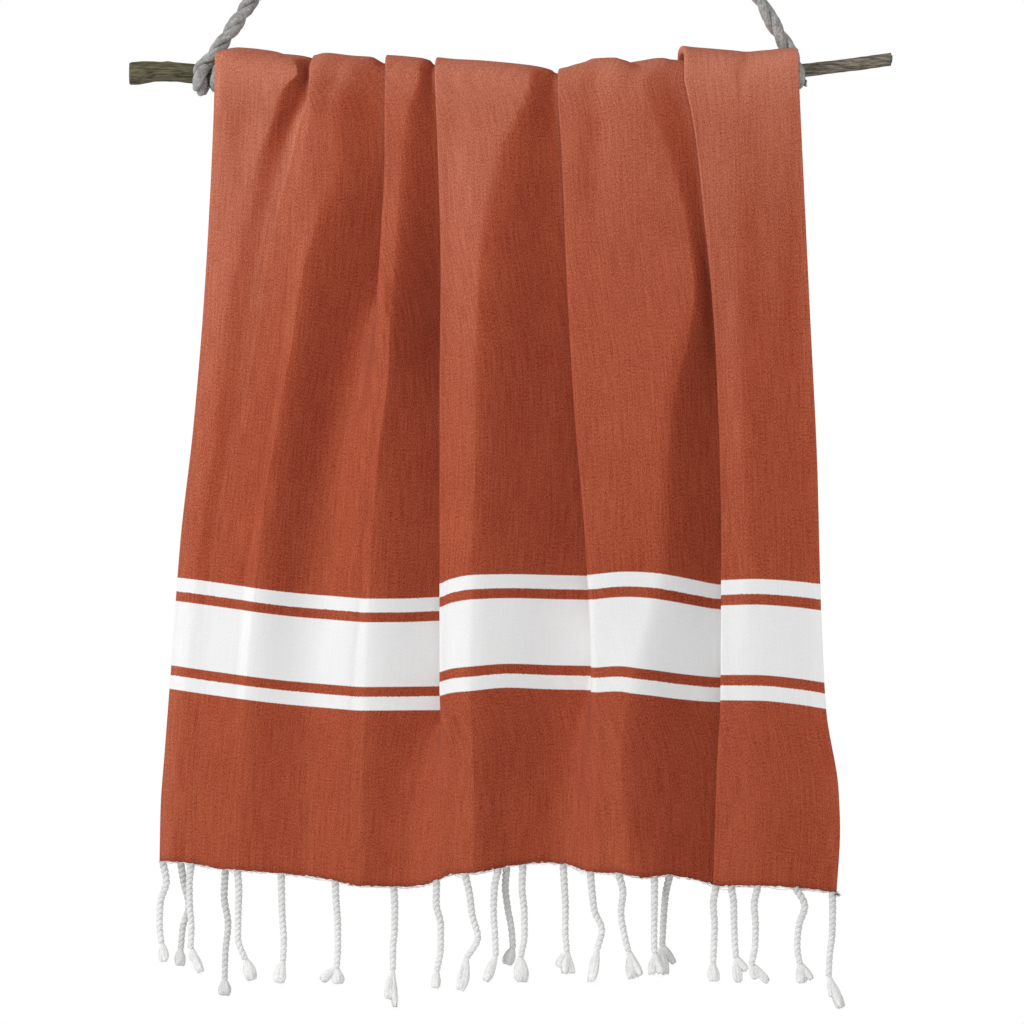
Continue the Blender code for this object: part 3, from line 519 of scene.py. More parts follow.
# %% [markdown]
# ## One level cut
#
# A cut is worked out stretch by stretch, and each stretch has a set number of columns. So a column stays
# the same thread of the cloth from hem to hem, also where a fold opens. Even steps along the whole cut
# would be simpler, but would let the folds' edges fall between two columns.

# %%
# A fold's and a panel's points


def fold_start(fold, y):
    """Where the cloth arrives behind a fold and leaves on its front. With bends of radius r, flap length l
    and turn a, the fold is 2r sin a + l cos a wide and 2r (1 - cos a) + l sin a deep."""
    flap, turn, radius, back = (follow(y, fold, "y", name) for name in ("flap", "turn", "radius", "back"))
    turn = np.radians(turn)
    wide = 2 * radius * np.sin(turn) + flap * np.cos(turn)
    deep = 2 * radius * (1 - np.cos(turn)) + flap * np.sin(turn)
    end_x = follow(y, fold, "y", "edge") + radius * np.sin(np.minimum(turn, pi / 2))
    return end_x - wide, back, end_x, back + deep


def fold_stretch(fold, y, part, t):
    """Points on one stretch of a fold, t from 0 to 1: its first bend, its flap or its second bend."""
    flap, turn, radius = (follow(y, fold, "y", name) for name in ("flap", "turn", "radius"))
    turn = np.radians(turn)
    x, out, end_x, end_out = fold_start(fold, y)
    if part == "first":
        return x + radius * np.sin(turn * t), out + radius * (1 - np.cos(turn * t))
    if part == "second":
        left = turn * (1 - t)
        return end_x - radius * np.sin(left), end_out - radius * (1 - np.cos(left))
    bend_x, bend_out = x + radius * np.sin(turn), out + radius * (1 - np.cos(turn))
    return bend_x + flap * t * np.cos(turn), bend_out + flap * t * np.sin(turn)


def panel_stretch(start, crest, end, edge_x, steep, y, t):
    """Points across a panel: a soft rise to its crest, a fall to the trough left of the next fold's edge,
    and a level run behind that fold to where it starts. `sharp` is how suddenly the fall begins, and
    `steep` how much of its slope is left at the trough."""
    (x0, out0), (x3, out3) = start, end
    x1, out1, sharp = (follow(y, crest, "y", name) for name in ("x", "out", "sharp"))
    x2 = np.minimum(x3, edge_x) - TROUGH_GAP
    x = np.where(t < CREST_AT, x0 + (x1 - x0) * t / CREST_AT,
                 np.where(t < TROUGH_AT, x1 + (x2 - x1) * (t - CREST_AT) / (TROUGH_AT - CREST_AT),
                          x2 + (x3 - x2) * (t - TROUGH_AT) / (1 - TROUGH_AT)))
    rise, fall = np.clip(t / CREST_AT, 0, 1), np.clip((t - CREST_AT) / (TROUGH_AT - CREST_AT), 0, 1)
    drop = out3 - out1
    return x, hermite(rise, out0, out1, 0, 0) + hermite(fall, 0, drop, sharp * drop, steep * drop)


print("the second fold's flap at y = 163 is", follow(163, FRONT_FOLDS[1], "y", "flap"), "steps wide")

# %%
# The columns, and a cut through all of them


def stretches():
    """The stretches across the cloth from its left selvedge: kind, number and how far along, per column."""
    kinds, numbers, along = [], [], []
    for number in range(len(FRONT_FOLDS) + 1):
        last = number == len(FRONT_FOLDS)
        for kind, cells in STRETCHES[:1 if last else 4]:
            kinds.extend([kind] * (cells + last))
            numbers.extend([number] * (cells + last))
            along.extend(np.arange(cells + last) / cells)
    return np.array(kinds), np.array(numbers), np.array(along)


KINDS, NUMBERS, ALONG = stretches()


def across(side, y):
    """x and out of every column of one side of the cloth, at the heights y (one column each)."""
    folds, left, right, crests = side
    x, out = np.zeros_like(y), np.zeros_like(y)
    for number in range(len(folds) + 1):
        for kind, _ in STRETCHES[:1 if number == len(folds) else 4]:
            mine = (KINDS == kind) & (NUMBERS == number)
            heights, t = y[:, mine], ALONG[mine]
            if kind != "panel":
                x[:, mine], out[:, mine] = fold_stretch(folds[number], heights, kind, t)
                continue
            start = (follow(heights, left, "y", "x"), follow(heights, left, "y", "out"))
            if number:
                start = fold_start(folds[number - 1], heights)[2:]
            end = (follow(heights, right, "y", "x"), follow(heights, right, "y", "out"))
            edge_x, steep = np.inf, 0
            if number < len(folds):
                end = fold_start(folds[number], heights)[:2]
                edge_x = follow(heights, folds[number], "y", "edge")
                turn = follow(heights, folds[number], "y", "turn")
                steep = STEEP * np.clip(-np.cos(np.radians(turn)), 0, 1)
            x[:, mine], out[:, mine] = panel_stretch(start, crests[number], end, edge_x, steep, heights, t)
    return x, out


cut_x = across(FRONT, np.full((1, len(KINDS)), 300.0))[0]
print(len(KINDS), "columns; at y = 300 the cloth spans x", cut_x.min().round(), "to", cut_x.max().round())

# %% [markdown]
# ## From hem to hem
#
# The front runs from its hem up to the height of the branch's axis, then each column crosses over the
# branch on half an ellipse and hangs down the back. The ellipse's top follows the lines in `TOPS`, one for
# each panel. The back hem lies where 1.73 m of cloth ends. Above the branch the columns shift little by
# little from the front's places to the back's, so that the selvedges stay clear of the ropes. The two sides
# could be made apart, but one grid keeps the cloth whole over the branch.

# %%
# The branch's line, the top edge and the hem
ROD = ("x y radius", [
    (129, 73.0, 11.0), (140, 72.2, 11.3), (148, 71.4, 10.7), (154, 71.0, 9.9), (175, 71.6, 9.5),
    (205, 74.0, 9.5),
    (300, 75.5, 9.2), (400, 79.0, 8.8), (500, 83.0, 8.3), (585, 85.5, 8.0), (660, 83.0, 7.6),
    (730, 77.0, 7.0), (803, 69.8, 6.6), (850, 64.2, 6.3), (893, 58.6, 6.2),
])
TOP_LINE = "x y"
TOPS = [
    (TOP_LINE, [(216, 47.5), (243, 48.3), (277, 50.6), (303.5, 55.5), (307.5, 57.5), (311, 60), (324, 61)]),
    (TOP_LINE, [(312, 54.5), (320, 52.5), (343, 55), (368, 56.5), (383, 63), (420, 68)]),
    (TOP_LINE, [(385, 54.5), (404, 56.5), (427, 60), (433, 64.5), (466, 67)]),
    (TOP_LINE, [(434.7, 56.5), (455, 59), (486, 60.6), (520, 64), (549, 69), (556, 73.4),
                (595, 74.7)]),
    (TOP_LINE, [(563, 68), (574, 64.7), (588, 61.6), (601, 57.4), (618, 57), (628, 58.4), (638, 63.5),
                (651, 60.5), (668, 57.4), (675, 59), (713, 62)]),
    (TOP_LINE, [(675, 43.7), (689, 45.8), (710, 48), (731, 50.3), (748, 51.4), (769, 50), (784, 49),
                (797, 48)]),
]
# Degrees over the branch at which columns start to shift from the front's to the back's, and how many more
# this takes, at the two selvedges. A shoulder's power is 1 for a round top and less for a squarer one.
SHIFT_FROM, SHIFT_OVER = (8, 60), (66, 70)
SHOULDER = ("x power", [(216, 0.25), (240, 0.5), (290, 1), (750, 1), (797, 0.45)])
SPRING, LOW = 80.0, 875.0  # near the branch's axis and near the front hem
FRONT_HEM = ("x y", [(160, 861), (192, 863), (219, 868), (264, 871.5), (320, 877.5), (364, 885.5),
                     (409, 886.5), (431, 882.5), (449, 874.5), (480, 871), (515, 864.5), (541, 862.5),
                     (564, 864), (587, 870.5), (623, 873), (646, 877), (664, 874.5), (697, 879.5),
                     (717, 885), (760, 885), (794, 887), (838, 892)])


print("the branch is", round(np.ptp(read(ROD, "x")) * STEP, 3), "m long")

# %%
# Rows from hem to hem


def top_heights(x, out):
    """The height at which each column crosses over the branch. A fold climbs from its panel's hidden end to
    the next panel's line, in step with how far each of its layers stands out."""
    heights = np.zeros(len(x))
    for number, line in enumerate(TOPS):
        mine = (KINDS == "panel") & (NUMBERS == number)
        heights[mine] = follow(x[mine], line, "x", "y")
    for number in range(len(FRONT_FOLDS)):
        fold = np.flatnonzero((KINDS != "panel") & (NUMBERS == number))
        first, last = fold[0], fold[-1] + 1
        hidden = read(TOPS[number], "y")[-1]
        share = (out[fold] - out[first]) / (out[last] - out[first])
        heights[fold] = hidden + (heights[last] - hidden) * share
    return heights


def side_rows(side, hem_y, cells):
    """x, out and y of one side's rows, from its hem up to the branch's axis."""
    columns = len(KINDS)
    spring = follow(across(side, np.full((1, columns), SPRING))[0], ROD, "x", "y")
    y = spring + (hem_y - spring) * np.linspace(1, 0, cells + 1)[:, None] ** CROWDING
    return (*across(side, y), y)


def towel_rows():
    """x, y and out of the cloth's middle surface, in rows from the front hem over the branch to the back
    hem. The back hem is a straight line fitted to where 1.73 m of cloth ends in each column."""
    columns = len(KINDS)
    low = across(FRONT, np.full((1, columns), LOW))[0]
    front_x, front_out, front_y = side_rows(FRONT, follow(low, FRONT_HEM, "x", "y"), FRONT_CELLS)
    top = top_heights(front_x[-1], front_out[-1])
    over_rod = pi * (front_out[-1] + front_y[-1] - top) / 2
    front_run = np.linalg.norm(np.diff(place(front_x, front_y, front_out), axis=0), axis=2).sum(0)
    hidden = (TOWEL_LENGTH - front_run) / STEP - over_rod
    column = np.arange(columns)
    back_hem = np.polyval(np.polyfit(column, front_y[-1] + hidden, 1), column)
    back_x, back_out, back_y = side_rows(BACK, back_hem, BACK_CELLS)
    angle = np.linspace(0, pi, ARCH_CELLS + 1)[1:-1, None]
    share = (np.degrees(angle) - np.linspace(*SHIFT_FROM, columns)) / np.linspace(*SHIFT_OVER, columns)
    share = np.clip(share, 0, 1)
    arch_x = front_x[-1] + (back_x[-1] - front_x[-1]) * share * share * (3 - 2 * share)
    arch_out = np.where(angle < pi / 2, front_out[-1], back_out[-1]) * np.cos(angle)
    base = np.where(angle < pi / 2, front_y[-1], back_y[-1])
    arch_y = base + (top - base) * np.sin(angle) ** follow(front_x[-1], SHOULDER, "x", "power")
    return (np.vstack((front_x, arch_x, back_x[::-1])), np.vstack((front_y, arch_y, back_y[::-1])),
            np.vstack((front_out, arch_out, -back_out[::-1])))


sheet_x, sheet_y, sheet_out = towel_rows()
print("cloth grid", sheet_x.shape)

# %% [markdown]
# ## Creases
#
# Where cloth has been folded or tugged, soft creases stay. Each is a trough along a short line, or a ridge
# where `deep` is below 0. With d the distance from the line and w its width, it is exp(-(d/w)^2) deep, and
# it fades towards the line's two ends. They could be sculpted, but a line in a table can be moved alone.

# %%
# Creases
CREASES = ("x0 y0 x1 y1 wide deep", [
    (601, 50, 592, 100, 6, 2.5), (640, 58, 622, 110, 5, 1.6), (748, 50, 742, 95, 8, 1.2),
    (556, 822, 578, 868, 9, 2.6), (640, 800, 652, 868, 10, 1.8), (508, 740, 503, 868, 9, 1.6),
    (178, 838, 232, 862, 8, 1.8), (250, 90, 236, 240, 12, 1.2), (340, 120, 318, 330, 14, 1.2),
    (470, 90, 466, 330, 14, -1.2), (757, 130, 764, 520, 16, 1.6), (800, 60, 806, 330, 6, 1.0),
    (190, 300, 178, 700, 9, -1.0), (610, 140, 622, 420, 12, -1.0), (598, 66, 596, 235, 10, 3.2),
])


def crease_depth(x, y):
    """How deep the creases press the cloth in at (x, y), in steps."""
    depth = np.zeros_like(x)
    names = ("x0", "y0", "x1", "y1", "wide", "deep")
    for x0, y0, x1, y1, wide, deep in zip(*(read(CREASES, name) for name in names)):
        run = np.hypot(x1 - x0, y1 - y0)
        along = ((x - x0) * (x1 - x0) + (y - y0) * (y1 - y0)) / run
        away = ((x - x0) * (y1 - y0) - (y - y0) * (x1 - x0)) / run
        past = np.maximum(np.maximum(-along, along - run), 0)
        ends = np.sin(pi * np.clip(along / run, 0.08, 0.92))
        depth += deep * ends * np.exp(-(away / wide) ** 2 - (past / wide) ** 2)
    return depth


print(len(CREASES[1]), "creases, up to", read(CREASES, "deep").max(), "steps deep")

# %% [markdown]
# ## Where the stripes lie
#
# The stripes are woven in, so they show how the cloth hangs. A plain unwrapping of the mesh would put them
# nearly right, but cloth stretches and hangs askew. So each panel has a line for the pattern's top and one
# for its bottom, and every point takes its place in the flat cloth from them.

# %%
# The stripes' lines, and each point's place in the flat cloth
STRIPE = "x top bottom"
STRIPES = [
    (STRIPE, [(160, 576, 687), (178, 578, 689), (219, 583.5, 695)]),
    (STRIPE, [(219, 583.5, 695), (297, 593.6, 704.5), (350, 597.5, 709)]),
    (STRIPE, [(350, 597.5, 709), (364, 598.5, 710), (400, 598.5, 710), (439, 597, 710), (475, 596, 709)]),
    (STRIPE, [(440, 584, 695), (452, 578.5, 692), (473, 574.6, 690), (508, 574, 687), (554, 575, 689),
              (600, 576, 690)]),
    (STRIPE, [(586, 576, 692), (621, 571.5, 690.5), (655, 575, 694), (688, 580, 699), (719, 584.5, 702),
              (760, 586, 703)]),
    (STRIPE, [(723, 580, 699.7), (755, 578.8, 700), (795, 581, 704), (822, 584, 708.5)]),
]
STRIPE_ROW = 640.0  # the height at which the stripes' tables are read


def woven_metres(y, grid):
    """Each point's place in the flat cloth: (across, along) in metres. Across is the share of the row's
    own length. Along is set by the stripes on the front, and beyond it by the length of cloth."""
    steps = np.linalg.norm(np.diff(grid, axis=1), axis=2)
    run = np.pad(np.cumsum(steps, 1), ((0, 0), (1, 0)))
    level, out = (row[0] for row in across(FRONT, np.full((1, len(KINDS)), STRIPE_ROW)))
    level_run = distances(np.stack((level, out), -1))
    known = KINDS == "panel"
    lines = []
    for name in ("top", "bottom"):
        heights = np.zeros(len(KINDS))
        for number, line in enumerate(STRIPES):
            mine = known & (NUMBERS == number)
            heights[mine] = follow(level[mine], line, "x", name)
        lines.append(np.interp(level_run, level_run[known], heights[known]))
    top, bottom = lines
    front = FRONT_CELLS + 1
    along = (BAND_FROM + (bottom - y[:front]) * PATTERN / (bottom - top)) * STEP
    over = np.linalg.norm(np.diff(grid[FRONT_CELLS:], axis=0), axis=2).cumsum(0)
    rest = along[-1] + (TOWEL_LENGTH - along[-1]) * over / over[-1]
    return np.stack((run / run[:, -1:], np.vstack((along, rest))), -1)


grid = place(sheet_x, sheet_y, sheet_out)
metres = woven_metres(sheet_y, grid)
print("flat cloth", metres[..., 1].max().round(3), "m long")

# %% [markdown]
# ## The uneven surface
#
# No panel hangs quite smooth, because the threads are not all equally tight. The creases press the cloth in
# along its normals, and so do two crossed waves with bent fronts, about half a millimetre deep. Bump in
# the material could shade them, but only the mesh can change the outline.

# %%
# Creases and ripple pressed into the grid
RIPPLE_DEEP = 0.0006


def sheet_normals(grid):
    """Unit normals of a grid of points, away from the branch on the front."""
    tall, wide = np.gradient(grid, axis=0), np.gradient(grid, axis=1)
    return unit(np.cross(unit(wide), unit(tall)))


seen = (KINDS == "panel") & (ALONG < TROUGH_AT)
pressed = np.where(seen & (sheet_out > 0), crease_depth(sheet_x, sheet_y), 0) * STEP
ripple = (np.sin(metres[..., 0] * 61 + 2.2 * np.sin(metres[..., 1] * 5.3))
          * np.sin(metres[..., 1] * 9.1 + 1.7 * np.sin(metres[..., 0] * 17)))
grid = grid - sheet_normals(grid) * (pressed + np.where(seen, RIPPLE_DEEP * ripple, 0))[..., None]
widths = np.linalg.norm(np.diff(grid, axis=1), axis=2).sum(1)
print("cloth width by row", widths.min().round(3), "to", widths.max().round(3), "m")

# %% [markdown]
# ## Painted light and nap, and the towel
#
# Each point of the mesh holds a number, which the cloth's colours read. Most of it is painted light: the
# cloth is paler where it faces the key light on the left, along the left selvedge and where it bends over
# the branch, and darker where it faces right. Near the top it is partly a paler nap as well. A texture
# could hold it, but a formula of the height and of the way that the cloth faces does the same. The sheet
# itself is one closed skin, so that it has a real edge at its hems and selvedges.

# %%
# Painted light and nap
# Painted sheen and highlight by height, near the top partly a paler nap: `share` scales the highlight where
# the cloth faces the key light, and `bend` pales it where it bends over the branch.
SHEEN_AND_NAP_BY_HEIGHT = ("y share bend", [(45, 0.3, 0.2), (75, 0.33, 0.12), (120, 0.34, 0), (250, 0.2, 0), (400, 0.08, 0),
                         (560, 0.03, 0)])
# The painted highlight where the cloth faces the key light on the left, each panel's and the left
# selvedge's share of it, and the painted shade where the cloth faces right.
PANEL_HIGHLIGHT = (1, 0.5, 0.35, 0.75, 0.5, 0.85)  # each panel's share, from the left
LEFT_FACING, FACING_GAIN = 0.62, 1.5  # the share of what faces the viewer, and its growth towards the left
SELVEDGE_HIGHLIGHT, SELVEDGE_WIDE = 0.1, 9  # the left selvedge's share, and how many steps wide it is
RIGHT_SIDE_SHADE = 0.4  # how far the pale flecks hide where the cloth faces right


def painted_light_and_nap_shares(normal):
    """Painted light, and near the top partly a paler nap: paler near the branch, on what faces the key
    light on the left, and in a strip by the left selvedge. Below 0 it is painted shade where the cloth
    faces right."""
    panel = np.where((KINDS == "flap") | (KINDS == "second"), NUMBERS + 1, NUMBERS)
    # Painted highlight where the cloth faces the key light on the left.
    facing = (np.clip(LEFT_FACING - FACING_GAIN * normal[..., 0], 0, 1)
              * follow(sheet_y, SHEEN_AND_NAP_BY_HEIGHT, "y", "share"))
    # Painted sheen, and partly a paler nap, where the cloth bends over the branch.
    bend = follow(sheet_y, SHEEN_AND_NAP_BY_HEIGHT, "y", "bend")
    # Painted highlight along the left selvedge.
    strip = SELVEDGE_HIGHLIGHT * np.exp(-((sheet_x - sheet_x[:, :1]) / SELVEDGE_WIDE) ** 2)
    # Painted shade where the cloth faces right, away from the key light.
    hidden = RIGHT_SIDE_SHADE * np.clip(normal[..., 0], 0, 0.5)
    return facing * np.array(PANEL_HIGHLIGHT)[panel] + bend + strip - hidden


painted_light_and_nap = painted_light_and_nap_shares(sheet_normals(grid))
print("worn nap from", painted_light_and_nap.min().round(2), "to", painted_light_and_nap.max().round(2))

# %%
# The towel


def towel_piece():
    """A closed sheet: the grid moved half the cloth's thickness to either side, joined round its rim."""
    normal = sheet_normals(grid)
    rows, columns = grid.shape[:2]
    count = rows * columns
    index = np.arange(count).reshape(rows, columns)
    quads = np.stack((index[:-1, :-1], index[:-1, 1:], index[1:, 1:], index[1:, :-1]), -1).reshape(-1, 4)
    rim = np.concatenate((index[0, :-1], index[:-1, -1], index[-1, :0:-1], index[:0:-1, 0]))
    after = np.roll(rim, -1)
    edges = np.stack((after, rim, rim + count, after + count), -1)
    shift = normal * CLOTH_THICK / 2
    points = np.concatenate(((grid + shift).reshape(-1, 3), (grid - shift).reshape(-1, 3)))
    faces = np.concatenate((quads, quads[:, ::-1] + count, edges))
    uv = np.tile(metres.reshape(-1, 2), (2, 1))
    return add_piece("towel_cloth", points, faces, CLOTH, uv, np.tile(painted_light_and_nap.ravel(), 2))


towel = towel_piece()
print("towel:", len(towel.data.polygons) * 2, "triangles")

# %% [markdown]
# ## The ropes
#
# Two ropes hold the branch up. Each winds round it, runs up taut and ends in an eye above the view. A
# Blender curve could carry it, but the windings have to follow the branch as it tapers, so its centre line
# is worked out: a smooth curve through the windings, given by their angle up from the front, the taut run,
# and the eye, whose tail is laid along the run.

# %%
# Rope routes
WINDING = "angle x"
LEFT_WINDING = (WINDING, [(-530, 232), (-450, 219), (-360, 217), (-315, 226), (-270, 234), (-180, 216),
                          (-90, 200), (0, 200), (45, 206)])
RIGHT_WINDING = (WINDING, [(20, 794), (0, 796.5), (-90, 799), (-180, 798.5)])
RUN = "x y out"
LEFT_RUN = (RUN, [(212.5, 57, 9.5), (219.5, 46.5, 5), (235, 24, 2), (251, 0, 0), (266, -22, 0)])
RIGHT_RUN = (RUN, [(795, 58, -16.5), (788, 46, -17), (775, 24, -13), (761.5, 0, -7), (749, -22, -2)])
EYE = "along aside out"
EYE_RING = (EYE, [(14, 2, 0), (26, 12, 0), (38, 19, 0), (50, 18.5, 0), (59, 11.5, 0), (62.5, 0, 0),
                  (59, -11.5, 0), (50, -18.5, 0), (38, -19, 0), (26, -16.5, 4), (14, -12.5, 10),
                  (2, -6, 16), (-10, -1, 17.8), (-24, 0, 17.8)])
EYE_LEAN = 29  # degrees from upright that the taut runs lean, towards the middle
ROPE_SPACING, ROUTE_SAMPLES = 0.0016, 4000  # between a path's points, and how many it is measured at
print("left rope winds through", np.ptp(read(LEFT_WINDING, "angle")), "degrees")

# %%
# Curves through the routes


def winding_points(winding, every=30):
    """Centres of a rope's windings round the branch: a helix whose radius is the branch's, plus half the
    rope's thickness, less what the rope is pressed flat by."""
    angles, xs = read(winding, "angle"), read(winding, "x")
    order = np.argsort(angles)
    angle = np.linspace(angles[0], angles[-1], int(np.ceil(np.ptp(angles) / every)) + 1)
    x = smooth(angle, angles[order], xs[order])
    reach = follow(x, ROD, "x", "radius") + (ROPE_THICK / 2 + ROPE_GAP) / STEP
    turn = np.radians(angle)
    return place(x, follow(x, ROD, "x", "y") - reach * np.sin(turn), reach * np.cos(turn))


def run_points(run, lean):
    """Centres of the taut run above the branch and of the eye at its end, whose tail lies on the run."""
    points = place(read(run, "x"), read(run, "y"), read(run, "out"))
    up = np.array((np.sin(radians(lean)), 0, np.cos(radians(lean))))
    aside = np.array((up[2], 0, -up[0]))
    along, sideways, out = (read(EYE_RING, name)[:, None] * STEP for name in ("along", "aside", "out"))
    return np.concatenate((points, points[-1] + along * up + sideways * aside - out * np.array((0, 1, 0))))


def curve_through(points, spacing):
    """Evenly spaced points on a smooth curve through the route's own points."""
    knots = np.concatenate(([0], np.cumsum(np.sqrt(np.linalg.norm(np.diff(points, axis=0), axis=1)))))
    gaps = np.diff(knots)
    slope = np.gradient(points, knots, axis=0)
    fine = np.linspace(0, knots[-1], ROUTE_SAMPLES)
    i = np.clip(np.searchsorted(knots, fine, side="right") - 1, 0, len(gaps) - 1)
    t, gap = ((fine - knots[i]) / gaps[i])[:, None], gaps[i][:, None]
    path = hermite(t, points[i], points[i + 1], slope[i] * gap, slope[i + 1] * gap)
    run = distances(path)
    at = np.linspace(0, run[-1], int(run[-1] / spacing) + 1)
    return np.stack([np.interp(at, run, path[:, i]) for i in range(3)], -1), run[-1]


LEFT_PATH, LEFT_LONG = curve_through(
    np.concatenate((winding_points(LEFT_WINDING), run_points(LEFT_RUN, EYE_LEAN))), ROPE_SPACING)
RIGHT_PATH, RIGHT_LONG = curve_through(
    np.concatenate((winding_points(RIGHT_WINDING), run_points(RIGHT_RUN, -EYE_LEAN))), ROPE_SPACING)
print(f"ropes: {LEFT_LONG:.3f} m and {RIGHT_LONG:.3f} m")

# %% [markdown]
# ## Yarn
#
# Cotton yarn is many fine fibres laid side by side, so light and dark run along it in streaks. Noise drawn
# out along the yarn gives them from any distance. One group serves two materials: grey for the ropes and
# white for the fringes. Hair curves could give every fibre, but they aren't meshes.

# %%
# Yarn material


def fibre_group():
    """Streaks along a yarn: streak = fine noise drawn out along it, wisp = broad light and dark."""
    tree, given, made = new_group("fibre", {"Metres": "Vector", "Fine": "Float"},
                                  {"Streak": "Float", "Wisp": "Float"})
    stretched = add(tree, "ShaderNodeVectorMath", {"operation": "MULTIPLY"})
    join(tree, stretched.inputs[0], given["Metres"])
    join(tree, stretched.inputs[1], (1.0, 0.22, 1.0))
    fine = add(tree, "ShaderNodeTexNoise", Vector=stretched.outputs[0], Scale=given["Fine"], Detail=3.0,
               Roughness=0.65)
    join(tree, made["Streak"], fine.outputs["Fac"])
    join(tree, made["Wisp"], noise(tree, given["Metres"], 90.0, (1, 1, 1), 3, 0.6))
    return tree


def yarn_material(name, dark, light, fine, bump_depth):
    """Yarn streaked along its own length, and darker or paler as `shade` says."""
    material, tree, shader = new_material(name)
    metres_here = add(tree, "ShaderNodeUVMap", {"uv_map": "Metres"}).outputs[0]
    fibre = use_group(tree, FIBRE, Metres=metres_here, Fine=fine)
    mixed = math(tree, "ADD", math(tree, "MULTIPLY", fibre["Streak"], 0.65),
                 math(tree, "MULTIPLY", fibre["Wisp"], 0.35))
    colour = blend(tree, ramp(tree, mixed, 0.34, 0.64), dark, light)
    shade = add(tree, "ShaderNodeAttribute", {"attribute_name": "shade"}).outputs["Fac"]
    darker = blend(tree, 1.0, colour, shade, "MULTIPLY")
    join(tree, shader.inputs["Base Color"], darker)
    shader.inputs["Roughness"].default_value = 0.9
    shader.inputs["Sheen Weight"].default_value = 0.15
    shader.inputs["Specular IOR Level"].default_value = 0.15
    bump = add(tree, "ShaderNodeBump", Height=fibre["Streak"], Distance=bump_depth, Strength=0.7)
    join(tree, shader.inputs["Normal"], bump.outputs[0])
    return material


FIBRE = fibre_group()
ROPE = yarn_material("rope_yarn", srgb(108, 107, 105), srgb(186, 185, 182), 1500.0, 0.0012)
print("groups:", [group.name for group in bpy.data.node_groups])

# %% [markdown]
# ## Tubes, threads and twisted plies
#
# Ropes, tassels and loose threads are all tubes along a path. A bevelled curve makes a round tube, but not
# two plies that press each other flat, so the rings of points are worked out here.

# %%
# Tubes and threads


def tubes(centres, side, other, radius, sides):
    """Round tubes, p(i, s, a) = c(i, s) + r(i, s, a) (n cos a + b sin a), for tube i, station s, angle a.
    Returns their points, their quads and each point's (around, along) in metres."""
    count, stations = centres.shape[:2]
    angle = np.arange(sides) * 2 * pi / sides
    radius = np.broadcast_to(radius, (count, stations, sides))
    ring = side[..., None, :] * np.cos(angle)[:, None] + other[..., None, :] * np.sin(angle)[:, None]
    points = centres[..., None, :] + ring * radius[..., None]
    index = np.arange(count * stations * sides).reshape(count, stations, sides)
    around = np.roll(index, -1, 2)
    quads = np.stack((index[:, :-1], around[:, :-1], around[:, 1:], index[:, 1:]), -1).reshape(-1, 4)
    step = np.linalg.norm(np.diff(centres, axis=1), axis=2)
    along = np.pad(np.cumsum(step, 1), ((0, 0), (1, 0)))
    uv = np.stack(np.broadcast_arrays(angle * radius.mean(), along[..., None]), -1)
    return points.reshape(-1, 3), quads, uv.reshape(-1, 2)


def carried_frame(path):
    """Two unit vectors across the path at each of its points, carried along it without twisting."""
    tangent = unit(np.gradient(path, axis=0))
    side = np.empty_like(path)
    side[0] = unit(np.cross(tangent[0], (0.3, 1, 0.2)))
    for i in range(1, len(path)):
        side[i] = unit(side[i - 1] - tangent[i] * (side[i - 1] @ tangent[i]))
    return side, np.cross(tangent, side)


def fibres(centres, radius, sides=3, shade=1.0, taper=True):
    """Thin threads along (thread, station) centres. Where they taper, it is to nothing at the far end."""
    tangent = unit(np.gradient(centres, axis=1))
    side = unit(np.cross(tangent, (0.15, 1.0, 0.1)))
    size = radius * (np.sqrt(np.linspace(1, 0.02, centres.shape[1])) if taper else 1)
    points, quads, uv = tubes(centres, side, np.cross(tangent, side), size[None, :, None], sides)
    return points, quads, uv, np.full(len(points), shade)


thread = fibres(np.linspace((0, 0, 0), (0, 0, 1), 6)[None], 0.01)
print("a thread of 6 stations has", len(thread[0]), "points and", len(thread[1]), "faces")

# %%
# Twisted plies


def plies(path, side, other, offset, radius, pitch, sides, groove=0.0, strands=1, shade=1.0, squash=0.5):
    """Two plies twisted round a path: each ply's centre is c(s) = p(s) + d (n cos f + b sin f), where the
    turn f grows by 2 pi in one pitch. They press each other flat, so each is 1 + squash times as wide
    across as it is deep. Grooves between its strands wind the other way."""
    run = distances(path)
    turn = run / pitch * 2 * pi
    parts = []
    offset, radius, shade = (np.broadcast_to(value, len(run)) for value in (offset, radius, shade))
    for phase in (0, pi):
        way = side * np.cos(turn + phase)[:, None] + other * np.sin(turn + phase)[:, None]
        centre = path + way * offset[:, None]
        angle = np.arange(sides) * 2 * pi / sides
        lay = np.cos(strands * (angle - turn[:, None] * 0.8 + phase))
        flat = 1 + squash * np.sin(angle - turn[:, None] - phase) ** 2
        width = radius[:, None] * flat * (1 - groove * np.clip(lay, 0, 1) ** 4)
        width[[0, -1]] *= 0.05
        points, quads, uv = tubes(centre[None], side[None], other[None], width[None], sides)
        parts.append((points, quads, uv, np.repeat(shade, sides)))
    return joined(parts)


# %% [markdown]
# ## The rope pieces
#
# A rope could be one tube with its lay in the bump, but the lay shows in the outline. So both plies are
# real tubes with strands of their own, the hairs that stand off them are thin tubes too, and whatever meets
# the branch is pressed flat on it.

# %%
# Hairs, and how the branch presses a rope
LEFT_PITCH, RIGHT_PITCH = 0.056, 0.078  # the right rope is laid more loosely
PLY_RADIUS, PLY_OFFSET = 0.0043, 0.0040
PLY_SIDES, PLY_STRANDS, PLY_GROOVE = 30, 7, 0.14
HAIRS, HAIR_FROM, HAIR_LONG, HAIR_THICK = 260, 0.0072, 0.005, 0.00007
FRAY_AT, FRAY_HAIRS, FRAY_THICK = (801.5, 80.5, 1), 90, 0.0005  # the right rope's tucked end, in steps
BRANCH_CLEAR = 0.6  # steps from the branch's mean surface to a rope that is squeezed against it


